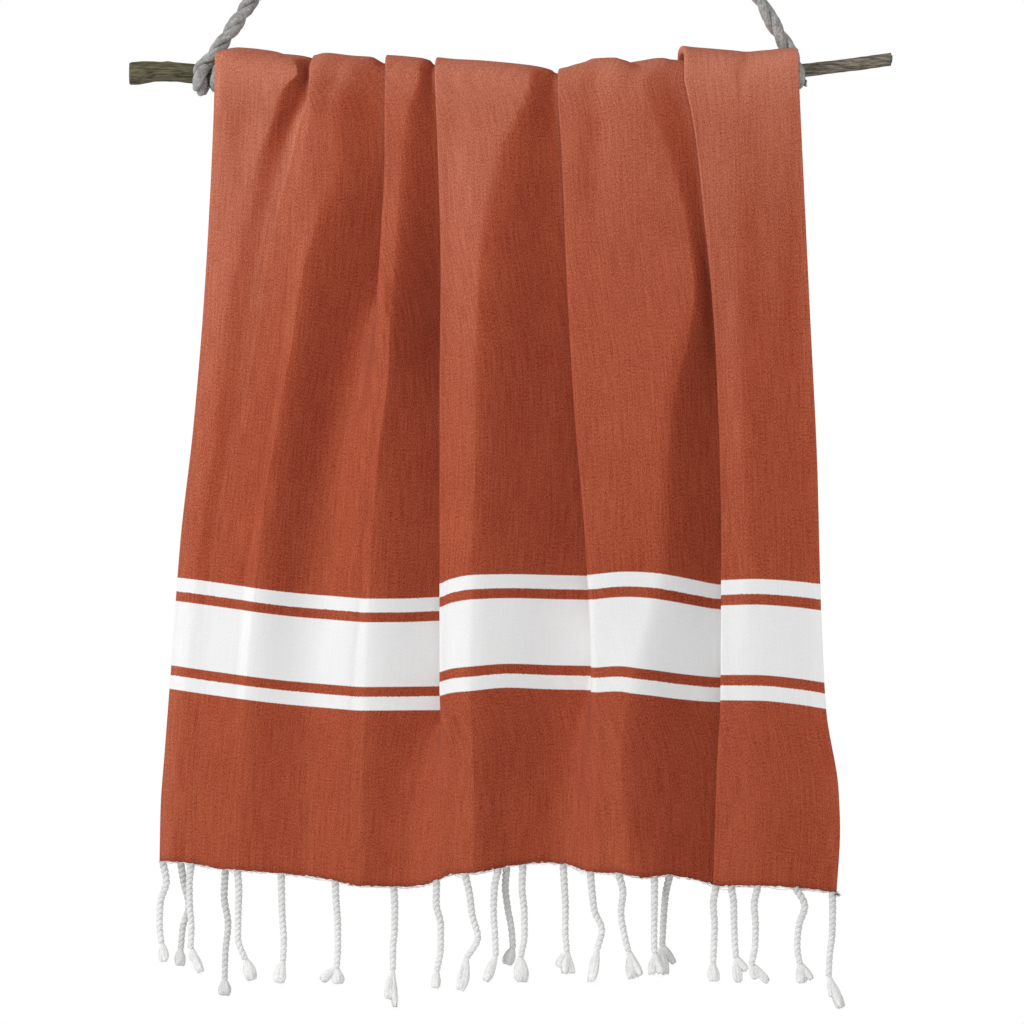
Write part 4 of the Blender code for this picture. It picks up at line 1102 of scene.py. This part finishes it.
def loose_hairs(path, side, other, count, reach, longest):
    """Fine hairs that leave the rope's surface: start + s out + s^2 droop, curling as they go."""
    at = rng.integers(3, len(path) - 3, count)
    angle = rng.uniform(0, 2 * pi, count)
    away = side[at] * np.cos(angle)[:, None] + other[at] * np.sin(angle)[:, None]
    tangent = unit(np.gradient(path, axis=0))[at]
    lean = tangent * rng.uniform(-1.2, 1.2, (count, 1))
    long = rng.uniform(0.25, 1, (count, 1)) ** 2 * longest
    s = np.linspace(0, 1, 6)[:, None]
    curl = np.cross(away, tangent) * rng.uniform(-0.5, 0.5, (count, 1))
    line = (path[at] + away * reach)[:, None] + (unit(away + lean) * long)[:, None] * s
    return line + (curl * long)[:, None] * s ** 2 + np.array((0, 0, -0.25)) * long[:, None] * s ** 2


def pressed_off(points):
    """Points moved straight out of the branch where a rope is squeezed against it."""
    x, out = points[:, 0] / STEP + ORIGIN_X, -points[:, 1] / STEP
    y = ORIGIN_Y - points[:, 2] / STEP
    axis_y, radius = follow(x, ROD, "x", "y"), follow(x, ROD, "x", "radius") + BRANCH_CLEAR
    away = np.hypot(out, y - axis_y)
    scale = np.maximum(radius / away, 1)
    return place(x, axis_y + (y - axis_y) * scale, out * scale)


def frayed_end(x, y, out, count):
    """Short thick hairs where a rope's end is tucked in: they leave it side by side, to the right."""
    start = place(x, y + rng.uniform(-3.5, 3.5, count), out + rng.uniform(-2, 2, count))
    aim = rng.normal(0, 0.12, (count, 3)) + (1, 0, -0.3)
    long = rng.uniform(0.005, 0.0074, (count, 1))
    s = np.linspace(0, 1, 6)[:, None]
    return start[:, None] + (unit(aim) * long)[:, None] * s + np.array((0, 0, -0.0008)) * s ** 2


print(f"plies {PLY_RADIUS * 2000:.1f} mm wide, one turn in {LEFT_PITCH * 1000:.0f} or "
      f"{RIGHT_PITCH * 1000:.0f} mm")

# %%
# The ropes


def rope_piece(name, node, path, pitch, shade, frayed=False):
    """A two-ply rope with its loose hairs, standing for its solid."""
    side, other = carried_frame(path)
    swell = 1 + 0.05 * np.sin(distances(path) * 190) + 0.04 * np.sin(distances(path) * 77 + 1)
    parts = [plies(path, side, other, PLY_OFFSET, PLY_RADIUS * swell, pitch, PLY_SIDES, PLY_GROOVE,
                   PLY_STRANDS, shade),
             fibres(loose_hairs(path, side, other, HAIRS, HAIR_FROM, HAIR_LONG), HAIR_THICK, shade=1.1)]
    if frayed:
        parts.append(fibres(frayed_end(*FRAY_AT, FRAY_HAIRS), FRAY_THICK, 4, shade=0.95))
    points, faces, uv, shades = joined(parts)
    piece = add_piece(name, pressed_off(points), faces, ROPE, uv, shades)
    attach(piece, "root")
    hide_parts(node)
    print(f"{name}: {len(piece.data.polygons) * 2} triangles")


rope_piece("left_rope", "rope_left", LEFT_PATH, LEFT_PITCH, 1)
rope_piece("right_rope", "rope_right", RIGHT_PATH, RIGHT_PITCH, 1.2, frayed=True)

# %% [markdown]
# ## The branch
#
# The towel hangs over a rough stick with its bark on. A cylinder with a bark picture would have a straight
# outline, so this one's radius wavers, ridges and knots stand out of it, and its two ends are cut rough.

# %%
# Branch shape
ROD_STATIONS, ROD_SIDES = 520, 56
KNOTS = ("x angle high", [(168, 1.2, 0.9), (186, 4.4, 0.6), (824, 0.6, 0.7), (862, 3.9, 0.8)])
END_RINGS = [0, 1, 2, -3, -2, -1]
END_SHARES = (0.02, 0.6, 0.93, 0.9, 0.6, 0.02)  # of the radius, at the rings of the two cut ends
LEFT_CUT, LEFT_SET, RIGHT_CUT = 1.2, 0.8, 3.4  # how uneven each cut is, and where, in steps
RIGHT_FADE = np.array((1, 0.8, 0.3))  # how much of the right cut's unevenness each of its rings has


def bark_height(x, angle):
    """Ridges along the bark: a few waves round the branch that drift as they run along it."""
    drift = x * 0.013
    ridges = (0.30 * np.sin(5 * angle + drift + 1.3 * np.sin(x * 0.021))
              + 0.22 * np.sin(9 * angle - drift * 1.7 + np.sin(x * 0.05))
              + 0.14 * np.sin(17 * angle + drift * 3 + 2 * np.sin(x * 0.031)))
    flakes = 0.12 * np.sin(x * 0.47 + 3 * np.sin(angle * 2)) * np.sin(angle * 7 + x * 0.09)
    knots = sum(high * np.exp(-((x - at) / 5) ** 2 - (1 - np.cos(angle - where)) * 6)
                for at, where, high in KNOTS[1])
    return ridges + flakes + knots


def rod_piece(material):
    """The branch: rings round its axis, drawn in to a point inside each cut end."""
    x_ends = read(ROD, "x")[[0, -1]]
    x = np.linspace(*x_ends, ROD_STATIONS)
    x = np.concatenate((x[:1], x[:1], x, x[-1:], x[-1:]))
    angle = np.arange(ROD_SIDES) * 2 * pi / ROD_SIDES
    radius = follow(x, ROD, "x", "radius")[:, None] + bark_height(x[:, None], angle)
    inset = np.ones(len(x))
    inset[END_RINGS] = END_SHARES
    radius = radius * inset[:, None]
    reach = np.zeros_like(radius)
    reach[:2] = LEFT_CUT * np.sin(2 * angle + 1) * inset[:2, None] + LEFT_SET
    reach[-3:] = -RIGHT_CUT * np.abs(np.sin(angle - 0.5)) * RIGHT_FADE[:, None]
    centre_y = follow(x, ROD, "x", "y")[:, None]
    points = place(x[:, None] + reach, centre_y - radius * np.sin(angle), radius * np.cos(angle))
    index = np.arange(points.shape[0] * ROD_SIDES).reshape(-1, ROD_SIDES)
    around = np.roll(index, -1, 1)
    quads = np.stack((index[:-1], index[1:], around[1:], around[:-1]), -1).reshape(-1, 4)
    uv = np.stack(np.broadcast_arrays(angle * radius.mean() * STEP, (x * STEP)[:, None]), -1)
    return add_piece("branch", points.reshape(-1, 3), quads, material, uv.reshape(-1, 2))


print("knots at", read(KNOTS, "x"))

# %% [markdown]
# ## Bark
#
# Bark is streaked along the branch, with mossy patches and dark grooves. Noise stretched along one axis
# makes all three, each at its own fineness. The object's own coordinates do here, because the branch bends
# only a little.

# %%
# Bark, and the branch


def bark_material():
    """Olive and brown streaks along the branch, greyer towards its right end, dark in the grooves."""
    material, tree, shader = new_material("bark")
    where = add(tree, "ShaderNodeTexCoord").outputs["Object"]
    along, _, _ = add(tree, "ShaderNodeSeparateXYZ", Vector=where).outputs
    streaks = noise(tree, where, 1.0, (55, 520, 520), 5, 0.62)
    patches = noise(tree, where, 1.0, (30, 110, 110), 3, 0.6)
    fine = noise(tree, where, 1.0, (240, 1500, 1500), 3, 0.6)
    right = ramp(tree, along, 0.1, 0.6)
    dark = blend(tree, right, srgb(44, 40, 26), srgb(66, 60, 50))
    light = blend(tree, right, srgb(112, 106, 78), srgb(156, 148, 132))
    colour = blend(tree, ramp(tree, streaks, 0.34, 0.66), dark, light)
    colour = blend(tree, math(tree, "MULTIPLY", ramp(tree, patches, 0.5, 0.75), 0.5), colour,
                   srgb(108, 100, 66))
    colour = blend(tree, math(tree, "MULTIPLY", ramp(tree, fine, 0.3, 0.5, 1.0, 0.0), 0.45), colour,
                   srgb(46, 42, 30))
    join(tree, shader.inputs["Base Color"], colour)
    shader.inputs["Roughness"].default_value = 0.85
    total = math(tree, "ADD", streaks, math(tree, "MULTIPLY", fine, 0.4))
    bump = add(tree, "ShaderNodeBump", Height=total, Distance=0.0016, Strength=0.8)
    join(tree, shader.inputs["Normal"], bump.outputs[0])
    return material


branch = rod_piece(bark_material())
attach(branch, "root")
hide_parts("rod")
print("branch:", len(branch.data.polygons) * 2, "triangles")

# %% [markdown]
# ## The fringes
#
# The warp's ends are twisted into two-ply tassels, and each opens at its tip into a puff of loose threads.
# Hair particles could stand for them, but each tassel hangs in a way of its own. So a tassel's line goes
# through its x at the hem, at each quarter of its length and where the puff begins.

# %%
# Tassel shapes
TASSEL = "root quarter half three_quarters join join_y behind"
FRONT_TASSELS = (TASSEL, [
    (163, 166.8, 161, 160, 162, 943, 0), (181, 184.2, 189, 183, 181, 949, 9),
    (192, 189.8, 190.3, 192, 191, 948, 0), (226, 224.5, 228.4, 225.7, 225, 980, 9),
    (238, 239.5, 238.8, 238.6, 246, 959, 0), (281.5, 282, 282.7, 284.2, 283.4, 961, 0),
    (335.6, 336.6, 338.2, 338.3, 337, 968, 0), (394, 395, 394.8, 393.2, 393, 970, 0),
    (436.8, 436.4, 441, 440.8, 437, 970, 0), (465, 469.7, 472.6, 478, 466.5, 957, 0),
    (498.7, 494.3, 493.6, 495, 496, 955, 0), (506.8, 505.3, 507.5, 511.3, 513, 948, 9),
    (523, 522, 524.2, 524.5, 520.5, 957, 0), (563, 564.3, 565.4, 565.2, 567, 952, 0),
    (590, 591.7, 594.1, 601.6, 597, 948, 0), (618, 622.5, 620.5, 623.4, 628, 950, 0),
    (654, 654, 653.8, 653.6, 654, 952, 0), (669.5, 665.6, 663.9, 662.8, 662, 946, 9),
    (715.8, 712.6, 714, 713.4, 712.5, 962, 0), (730, 733, 733.4, 734, 735.5, 957, 0),
    (757.3, 753.5, 754.8, 754.3, 750.5, 964, 0), (794.5, 804, 798.2, 796.5, 799, 963, 0),
    (831.7, 832, 831.5, 829, 828, 976, 0),
])
PUFFS = ("tassel x y wide", [
    (1, 165, 961, 9), (2, 180, 965.5, 11), (3, 202, 971, 9), (3, 195, 960, 8), (4, 225, 995, 13),
    (5, 252, 979.5, 13), (6, 280, 982.5, 11.5), (7, 322, 980, 9), (7, 339, 983, 12), (8, 388, 998, 9),
    (8, 395.4, 1006, 7), (9, 436, 987, 10), (10, 461, 988.5, 11.5), (11, 486, 980, 10),
    (12, 507, 964, 13), (13, 521, 981, 14), (14, 558, 966, 8), (14, 565, 973, 10), (14, 572, 973, 7),
    (15, 590.5, 980.5, 9.5), (16, 631, 977, 10), (16, 640, 974, 9), (17, 651, 973, 9), (17, 661, 972, 9),
    (18, 657, 970, 8), (18, 665, 973.6, 9), (18, 674, 963, 7), (19, 714.5, 980, 11), (20, 738, 981, 9),
    (20, 746, 969, 8), (21, 757, 977, 9), (21, 767, 981, 8), (22, 801, 982, 11), (22, 811, 978, 8),
    (23, 841, 1007, 10), (23, 832, 996, 8),
])
print(len(FRONT_TASSELS[1]), "tassels with", len(PUFFS[1]), "puffs")

# %%
# Yarn, thicknesses and loose threads
BACK_TASSELS, HEM_MARGIN = 20, 0.006  # and how far the outer ones lie from the selvedges
BACK_CORD, BACK_PUFF = (0.082, 0.09), (0.018, 0.026)  # the shortest and the longest, in metres
BACK_PUFF_WIDE, BACK_SWAY, BACK_LEAN = (0.01, 0.015), 0.0022, 0.004
BEHIND_SHADE, BACK_SHADE = 0.82, 0.95  # painted shade where a tassel hangs behind the others, and a little greyer at the back
COTTON = yarn_material("cotton_yarn", srgb(207, 208, 206), srgb(240, 241, 240), 2600.0, 0.0004)
TWIST_PITCH = 0.0125
PUFF_PALER = 1.1  # the opened threads are the palest
PUFF_RINGS, PUFF_SIDES, CORD_STATIONS = 18, 28, 72
# How thick loose threads are: in a puff, along the hem, hanging off it, in a loop and in the dark tuft.
PUFF_THREAD, HEM_THREAD, HEM_END, LOOP_THREAD, TUFT_THREAD = 0.0002, 0.0005, 0.00018, 0.00032, 0.00034
# Down a cord from the hem: how thick it is, and how pale, for it is greyer where it leaves the hem.
TWIST = ("fall wide shade", [(0, 1.4, 0.74), (0.12, 1.36, 0.93), (0.5, 1.26, 1), (1, 1.15, 1.05)])
HEM_FINE, HEM_KNOTS = 1400, 260  # points along a hem's threads, and places where they waver
# Loose threads under the front hem: from x0 to x1, how far they sag, and how grey they are. Their grey is
# partly painted shade: some of them stand for thin shadows under the hem.
LOOPS = ("x0 x1 sag grey", [(196, 222, 1.5, 0.8), (230, 240, 3, 0.7), (305, 330, 1.5, 0.6),
                            (350, 385, 1.2, 0.55), (455, 468, 3, 0.7), (470, 497, 2, 0.6),
                            (576, 590, 3.5, 0.7), (612, 624, 4, 0.75), (626, 652, 1.5, 0.6),
                            (706, 716, 2.5, 0.6), (716, 732, 3.5, 0.7), (766, 797, 2.5, 0.7),
                            (800, 829, 1.5, 0.5)])
TUFT, TUFT_DARK = 26, 0.28  # threads in the dark tuft at the front hem's right corner, and their shade
print(len(LOOPS[1]), "loose threads under the front hem")

# %% [markdown]
# ## Puffs and cords
#
# Where a tassel ends its threads spread. Hundreds of single threads would be needed to look full, so a puff
# is one solid brush, parted by lobes and grooves, with a few real threads standing off it.

# %%
# A puff and a cord


def puff(start, tip, wide, shade, threads):
    """A tuft of loose threads: a brush that widens as w(s) = w0 + (w - w0) sin(pi/2 min(s / 0.75, 1)) and
    ends bluntly as (1 - s^9)^(1/2). Lobes and grooves part its threads, and fine ones stand off it."""
    s = np.linspace(0, 1, PUFF_RINGS)
    angle = np.arange(PUFF_SIDES) * 2 * pi / PUFF_SIDES
    narrow = TASSEL_WIDE * 0.36
    swell = narrow + (wide / 2 - narrow) * np.sin(pi / 2 * np.clip(s / 0.75, 0, 1))
    half = swell * np.sqrt(np.clip(1 - s ** 9, 0, 1)) + 0.00003
    turns = rng.uniform(0, 2 * pi, 5)
    lobes = s[:, None] * (0.13 * np.cos(2 * angle + turns[0]) + 0.10 * np.cos(3 * angle + turns[1]))
    grooves = 0.07 * np.cos(7 * angle + turns[2] + 2 * s[:, None]) + 0.05 * np.cos(12 * angle + turns[3])
    ragged = (0.5 * np.cos(3 * angle + turns[4]) + 0.35 * np.cos(8 * angle + turns[0])
              + 0.2 * np.cos(13 * angle))
    side = unit(np.cross(tip - start, (0, 1, 0)))
    bend = side * np.sin(pi * s)[:, None] * rng.uniform(-0.0012, 0.0012)
    axis = start + (tip - start) * s[:, None] + bend
    ring = side * np.cos(angle)[:, None] + np.array((0, 0.6, 0)) * np.sin(angle)[:, None]
    points = axis[:, None] + ring * (half[:, None] * (1 + lobes + grooves))[..., None]
    points += (tip - start) * (0.15 * ragged * s[:, None] ** 3 * (half / swell)[:, None])[..., None]
    index = np.arange(PUFF_RINGS * PUFF_SIDES).reshape(PUFF_RINGS, PUFF_SIDES)
    around = np.roll(index, -1, 1)
    quads = np.stack((index[:-1], around[:-1], around[1:], index[1:]), -1).reshape(-1, 4)
    uv = np.stack(np.broadcast_arrays(angle * wide / 2, s[:, None] * 0.02), -1).reshape(-1, 2)
    body = points.reshape(-1, 3), quads, uv, np.full(index.size, shade)
    ends = np.linspace(0, 1, 7)[:, None]
    turn = rng.uniform(0, 2 * pi, (threads, 1, 1))
    spread = np.sqrt(rng.uniform(0.2, 1.15, (threads, 1, 1))) * wide / 2
    aside = side * np.cos(turn) + np.array((0, 0.6, 0)) * np.sin(turn)
    long = rng.uniform(0.8, 1.12, (threads, 1, 1))
    line = start + (tip - start) * ends * long + aside * spread * np.sin(pi / 2 * np.clip(ends / 0.7, 0, 1))
    return [body, fibres(line, PUFF_THREAD, shade=shade)]


def tassel(root, swings, join_point, shade):
    """A tassel's twisted cord, from the hem to where its puff begins."""
    fall = np.linspace(0, 1, CORD_STATIONS)
    x = smooth(fall, np.linspace(0, 1, 5), np.array([root[0], *swings, join_point[0]]))
    depth = root[1] + (join_point[1] - root[1]) * np.clip(fall * 4, 0, 1)
    path = np.stack((x, depth, root[2] + (join_point[2] - root[2]) * fall), -1)
    side, other = carried_frame(path)
    wide = TASSEL_WIDE * follow(fall, TWIST, "fall", "wide")
    shade = shade * follow(fall, TWIST, "fall", "shade")
    return plies(path, side, other, wide * 0.18, wide * 0.29, TWIST_PITCH, 10, 0.06, 4, shade, 0.35)


print("a puff has", PUFF_RINGS * PUFF_SIDES, "points")

# %%
# Places on the hems


def along_hem(row, at):
    """Points at distances along a hem, which is the cloth grid's first or last row."""
    run = distances(grid[row])
    return np.stack([np.interp(at, run, grid[row, :, i]) for i in range(3)], -1)


HEM_LONG = {row: distances(grid[row])[-1] for row in (0, -1)}


def foremost(step_x):
    """The front hem's foremost point at an x given in steps."""
    fine = along_hem(0, np.linspace(0, HEM_LONG[0], HEM_FINE))
    target = np.clip((step_x - ORIGIN_X) * STEP, fine[0, 0] + 0.001, fine[-1, 0] - 0.001)
    near = np.flatnonzero(np.abs(fine[:, 0] - target) < STEP)
    return np.array((target, *fine[near[np.argmin(fine[near, 1])], 1:]))


print("hems", HEM_LONG[0].round(3), "and", HEM_LONG[-1].round(3), "m long")

# %%
# All tassels of the front and of the back


def front_tassels(threads):
    """The front's tassels, each from the foremost layer of the hem at its root, and their puffs."""
    parts, joins = [], []
    for root, q1, q2, q3, join_x, join_y, behind in FRONT_TASSELS[1]:
        start = foremost(root) + (0, 0.0004, 0.001)
        join_point = place(join_x, join_y, 0) + (0, start[1] + behind * STEP, 0)
        swings = (np.array((q1, q2, q3)) - ORIGIN_X) * STEP
        shade = BEHIND_SHADE if behind else 1.0
        parts.append(tassel(start, swings, join_point, shade))
        joins.append((join_point, PUFF_PALER * shade))
    for number, tip_x, tip_y, wide in PUFFS[1]:
        start, shade = joins[number - 1]
        tip = place(tip_x, tip_y, 0) + (0, start[1], 0)
        parts += puff(start + (0, 0, 0.0015), tip, wide * STEP, shade, threads)
    return parts


def back_tassels(threads):
    """The back's tassels, evenly along the hem, each swaying a little."""
    parts = []
    for at in np.linspace(HEM_MARGIN, HEM_LONG[-1] - HEM_MARGIN, BACK_TASSELS):
        start = along_hem(-1, at) + (0, 0, 0.001)
        sway = rng.normal(0, BACK_SWAY, 4).cumsum()
        join_point = start + (sway[3], 0, -rng.uniform(*BACK_CORD))
        tip = join_point + (rng.normal(0, BACK_LEAN), 0, -rng.uniform(*BACK_PUFF))
        parts.append(tassel(start, start[0] + sway[:3], join_point, BACK_SHADE))
        parts += puff(join_point + (0, 0, 0.0015), tip, rng.uniform(*BACK_PUFF_WIDE),
                      PUFF_PALER * BACK_SHADE, threads)
    return parts


# %% [markdown]
# ## The frayed hems
#
# Between the tassels the hem is a little frayed: weft threads come loose and run along it, and short ends
# hang off it. Noise on the hem's edge would fray its outline only, so these are real threads.

# %%
# Loose threads


def frayed_hem(row, outward, count):
    """The hem's loose edge: three threads that run along it and come and go, and short ends that hang
    from it."""
    fine, knots = (np.linspace(0, HEM_LONG[row], points) for points in (HEM_FINE, HEM_KNOTS))
    base = along_hem(row, fine)
    parts = []
    for k in range(3):
        waver = np.stack([np.interp(fine, knots, rng.normal(0, 0.0006, HEM_KNOTS)) for _ in range(3)], -1)
        thread = base + waver + (0, outward * 0.0005, 0.0003 - 0.0006 * k)
        thick = np.clip(0.6 + np.interp(fine, knots, rng.normal(0, 0.6, HEM_KNOTS)), 0.05, 1.3)
        parts.append(fibres(thread[None], HEM_THREAD * thick, 4, 0.98, taper=False))
    start = along_hem(row, rng.uniform(0, HEM_LONG[row], count))
    s = np.linspace(0, 1, 5)[:, None]
    lean = rng.normal(0, 0.8, (count, 3)) * (1, 0.5, 0.2) + (0, 0, -1)
    ends = start[:, None] + (unit(lean) * rng.uniform(0.001, 0.0046, (count, 1)))[:, None] * s
    parts.append(fibres(ends, HEM_END, shade=1.0))
    return parts


def loose_loops():
    """Threads that sag between two places on the front hem, and a dark tuft at its right corner."""
    s = np.linspace(0, 1, 24)[:, None]
    parts = []
    for x0, x1, sag, grey in LOOPS[1]:
        start, end = foremost(x0), foremost(x1)
        path = start + (end - start) * s + np.array((0, -0.001, -sag * STEP)) * np.sin(pi * s) ** 0.7
        parts.append(fibres(path[None], LOOP_THREAD, 4, grey))
    corner = grid[0, -1] + (rng.normal(0, 0.0008, (TUFT, 3)) + (0, -0.0006, -0.001))
    lean = rng.normal(0, 1, (TUFT, 3)) * (1, 0.4, 0.6) + (0.8, 0, -0.4)
    ends = corner[:, None] + (unit(lean) * 0.0042)[:, None] * np.linspace(0, 1, 5)[:, None]
    parts.append(fibres(ends, TUFT_THREAD, shade=TUFT_DARK))
    return parts


# %%
# The fringes


def fringe_piece(name, node, parts):
    """One fringe, standing for its solid."""
    points, faces, uv, shades = joined(parts)
    piece = add_piece(name, points, faces, COTTON, uv, shades)
    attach(piece, "root")
    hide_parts(node)
    print(f"{name}: {len(piece.data.polygons) * 2} triangles")
    return piece


THREADS = 40  # loose threads in each puff
FRONT_ENDS, BACK_ENDS = 420, 260  # short ends along each hem
front_fringe = fringe_piece("fringe_front", "front_fringe",
                            front_tassels(THREADS) + frayed_hem(0, -1, FRONT_ENDS) + loose_loops())
back_fringe = fringe_piece("fringe_back", "back_fringe",
                           back_tassels(THREADS) + frayed_hem(-1, 1, BACK_ENDS))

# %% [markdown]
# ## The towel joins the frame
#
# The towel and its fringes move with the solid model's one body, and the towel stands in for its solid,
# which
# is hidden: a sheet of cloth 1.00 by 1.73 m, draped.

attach(towel, "root")
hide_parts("towel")

# %% [markdown]
# ## Floor and light
#
# A pale floor lies well below. A large soft key light stands to the upper left, two weaker ones fill the
# front and the back, and white surroundings fill the shadows. The camera sees plain white behind the towel.

# %%
# Floor
FLOOR_DROP = 0.25  # from the part's lowest point to the floor
FLOOR = [(-3.2, -3.4, 0), (3.2, -3.4, 0), (3.2, 3.0, 0), (-3.2, 3.0, 0)]
floor_points = centre + np.array(FLOOR)
floor_points[:, 2] = SOLID_BOX[0][2] - FLOOR_DROP
floor_material, _, floor_shader = new_material("pale_floor")
floor_shader.inputs["Base Color"].default_value = (0.86, 0.86, 0.86, 1)
floor_shader.inputs["Roughness"].default_value = 0.8
add_piece("floor", floor_points, np.array([[0, 1, 2, 3]]), floor_material)
print("floor at", floor_points[0, 2].round(3))

# %%
# Lights
# Where each light stands and what it faces, from the middle of the view, its width and its power.
LIGHTS = ("name at aim size watts", [
    ("key", (-2.9, -2.3, 1.7), (0, 0, 0.1), 1.2, 82),
    ("soft_fill", (0.6, -3.8, 0.4), (0, 0, 0), 2.2, 16),
    ("back_fill", (1.6, 3.6, 0.9), (0, 0, 0), 2.0, 34),
])


def light(name, at, aim, size, watts):
    """A square soft light that faces a point."""
    lamp = bpy.data.lights.new(name, "AREA")
    lamp.shape, lamp.size, lamp.energy = "SQUARE", size, watts
    holder = bpy.data.objects.new(name, lamp)
    bpy.context.collection.objects.link(holder)
    holder.location = at
    holder.rotation_euler = (Vector(aim) - Vector(at)).to_track_quat("-Z", "Y").to_euler()


for name, at, aim, size, watts in LIGHTS[1]:
    light(name, centre + at, centre + aim, size, watts)
print("lights:", [lamp.name for lamp in bpy.data.lights])

# %%
# World
SEEN_WHITE, SHONE_WHITE = 1.0, 0.57  # its brightness to the camera, and on the part


def white_world(seen, shone):
    """A world that the camera sees as one brightness and the object is lit by as another."""
    world = bpy.data.worlds.new("white")
    world.use_nodes = True
    tree = world.node_tree
    shader = tree.nodes["Background"]
    camera_ray = add(tree, "ShaderNodeLightPath").outputs["Is Camera Ray"]
    strength = math(tree, "ADD", shone, math(tree, "MULTIPLY", camera_ray, seen - shone))
    join(tree, shader.inputs["Color"], (1, 1, 1, 1))
    join(tree, shader.inputs["Strength"], strength)
    bpy.context.scene.world = world


white_world(SEEN_WHITE, SHONE_WHITE)
bpy.context.scene.view_settings.view_transform = "Standard"
print("the part is lit at", SHONE_WHITE, "of the white that the camera sees")
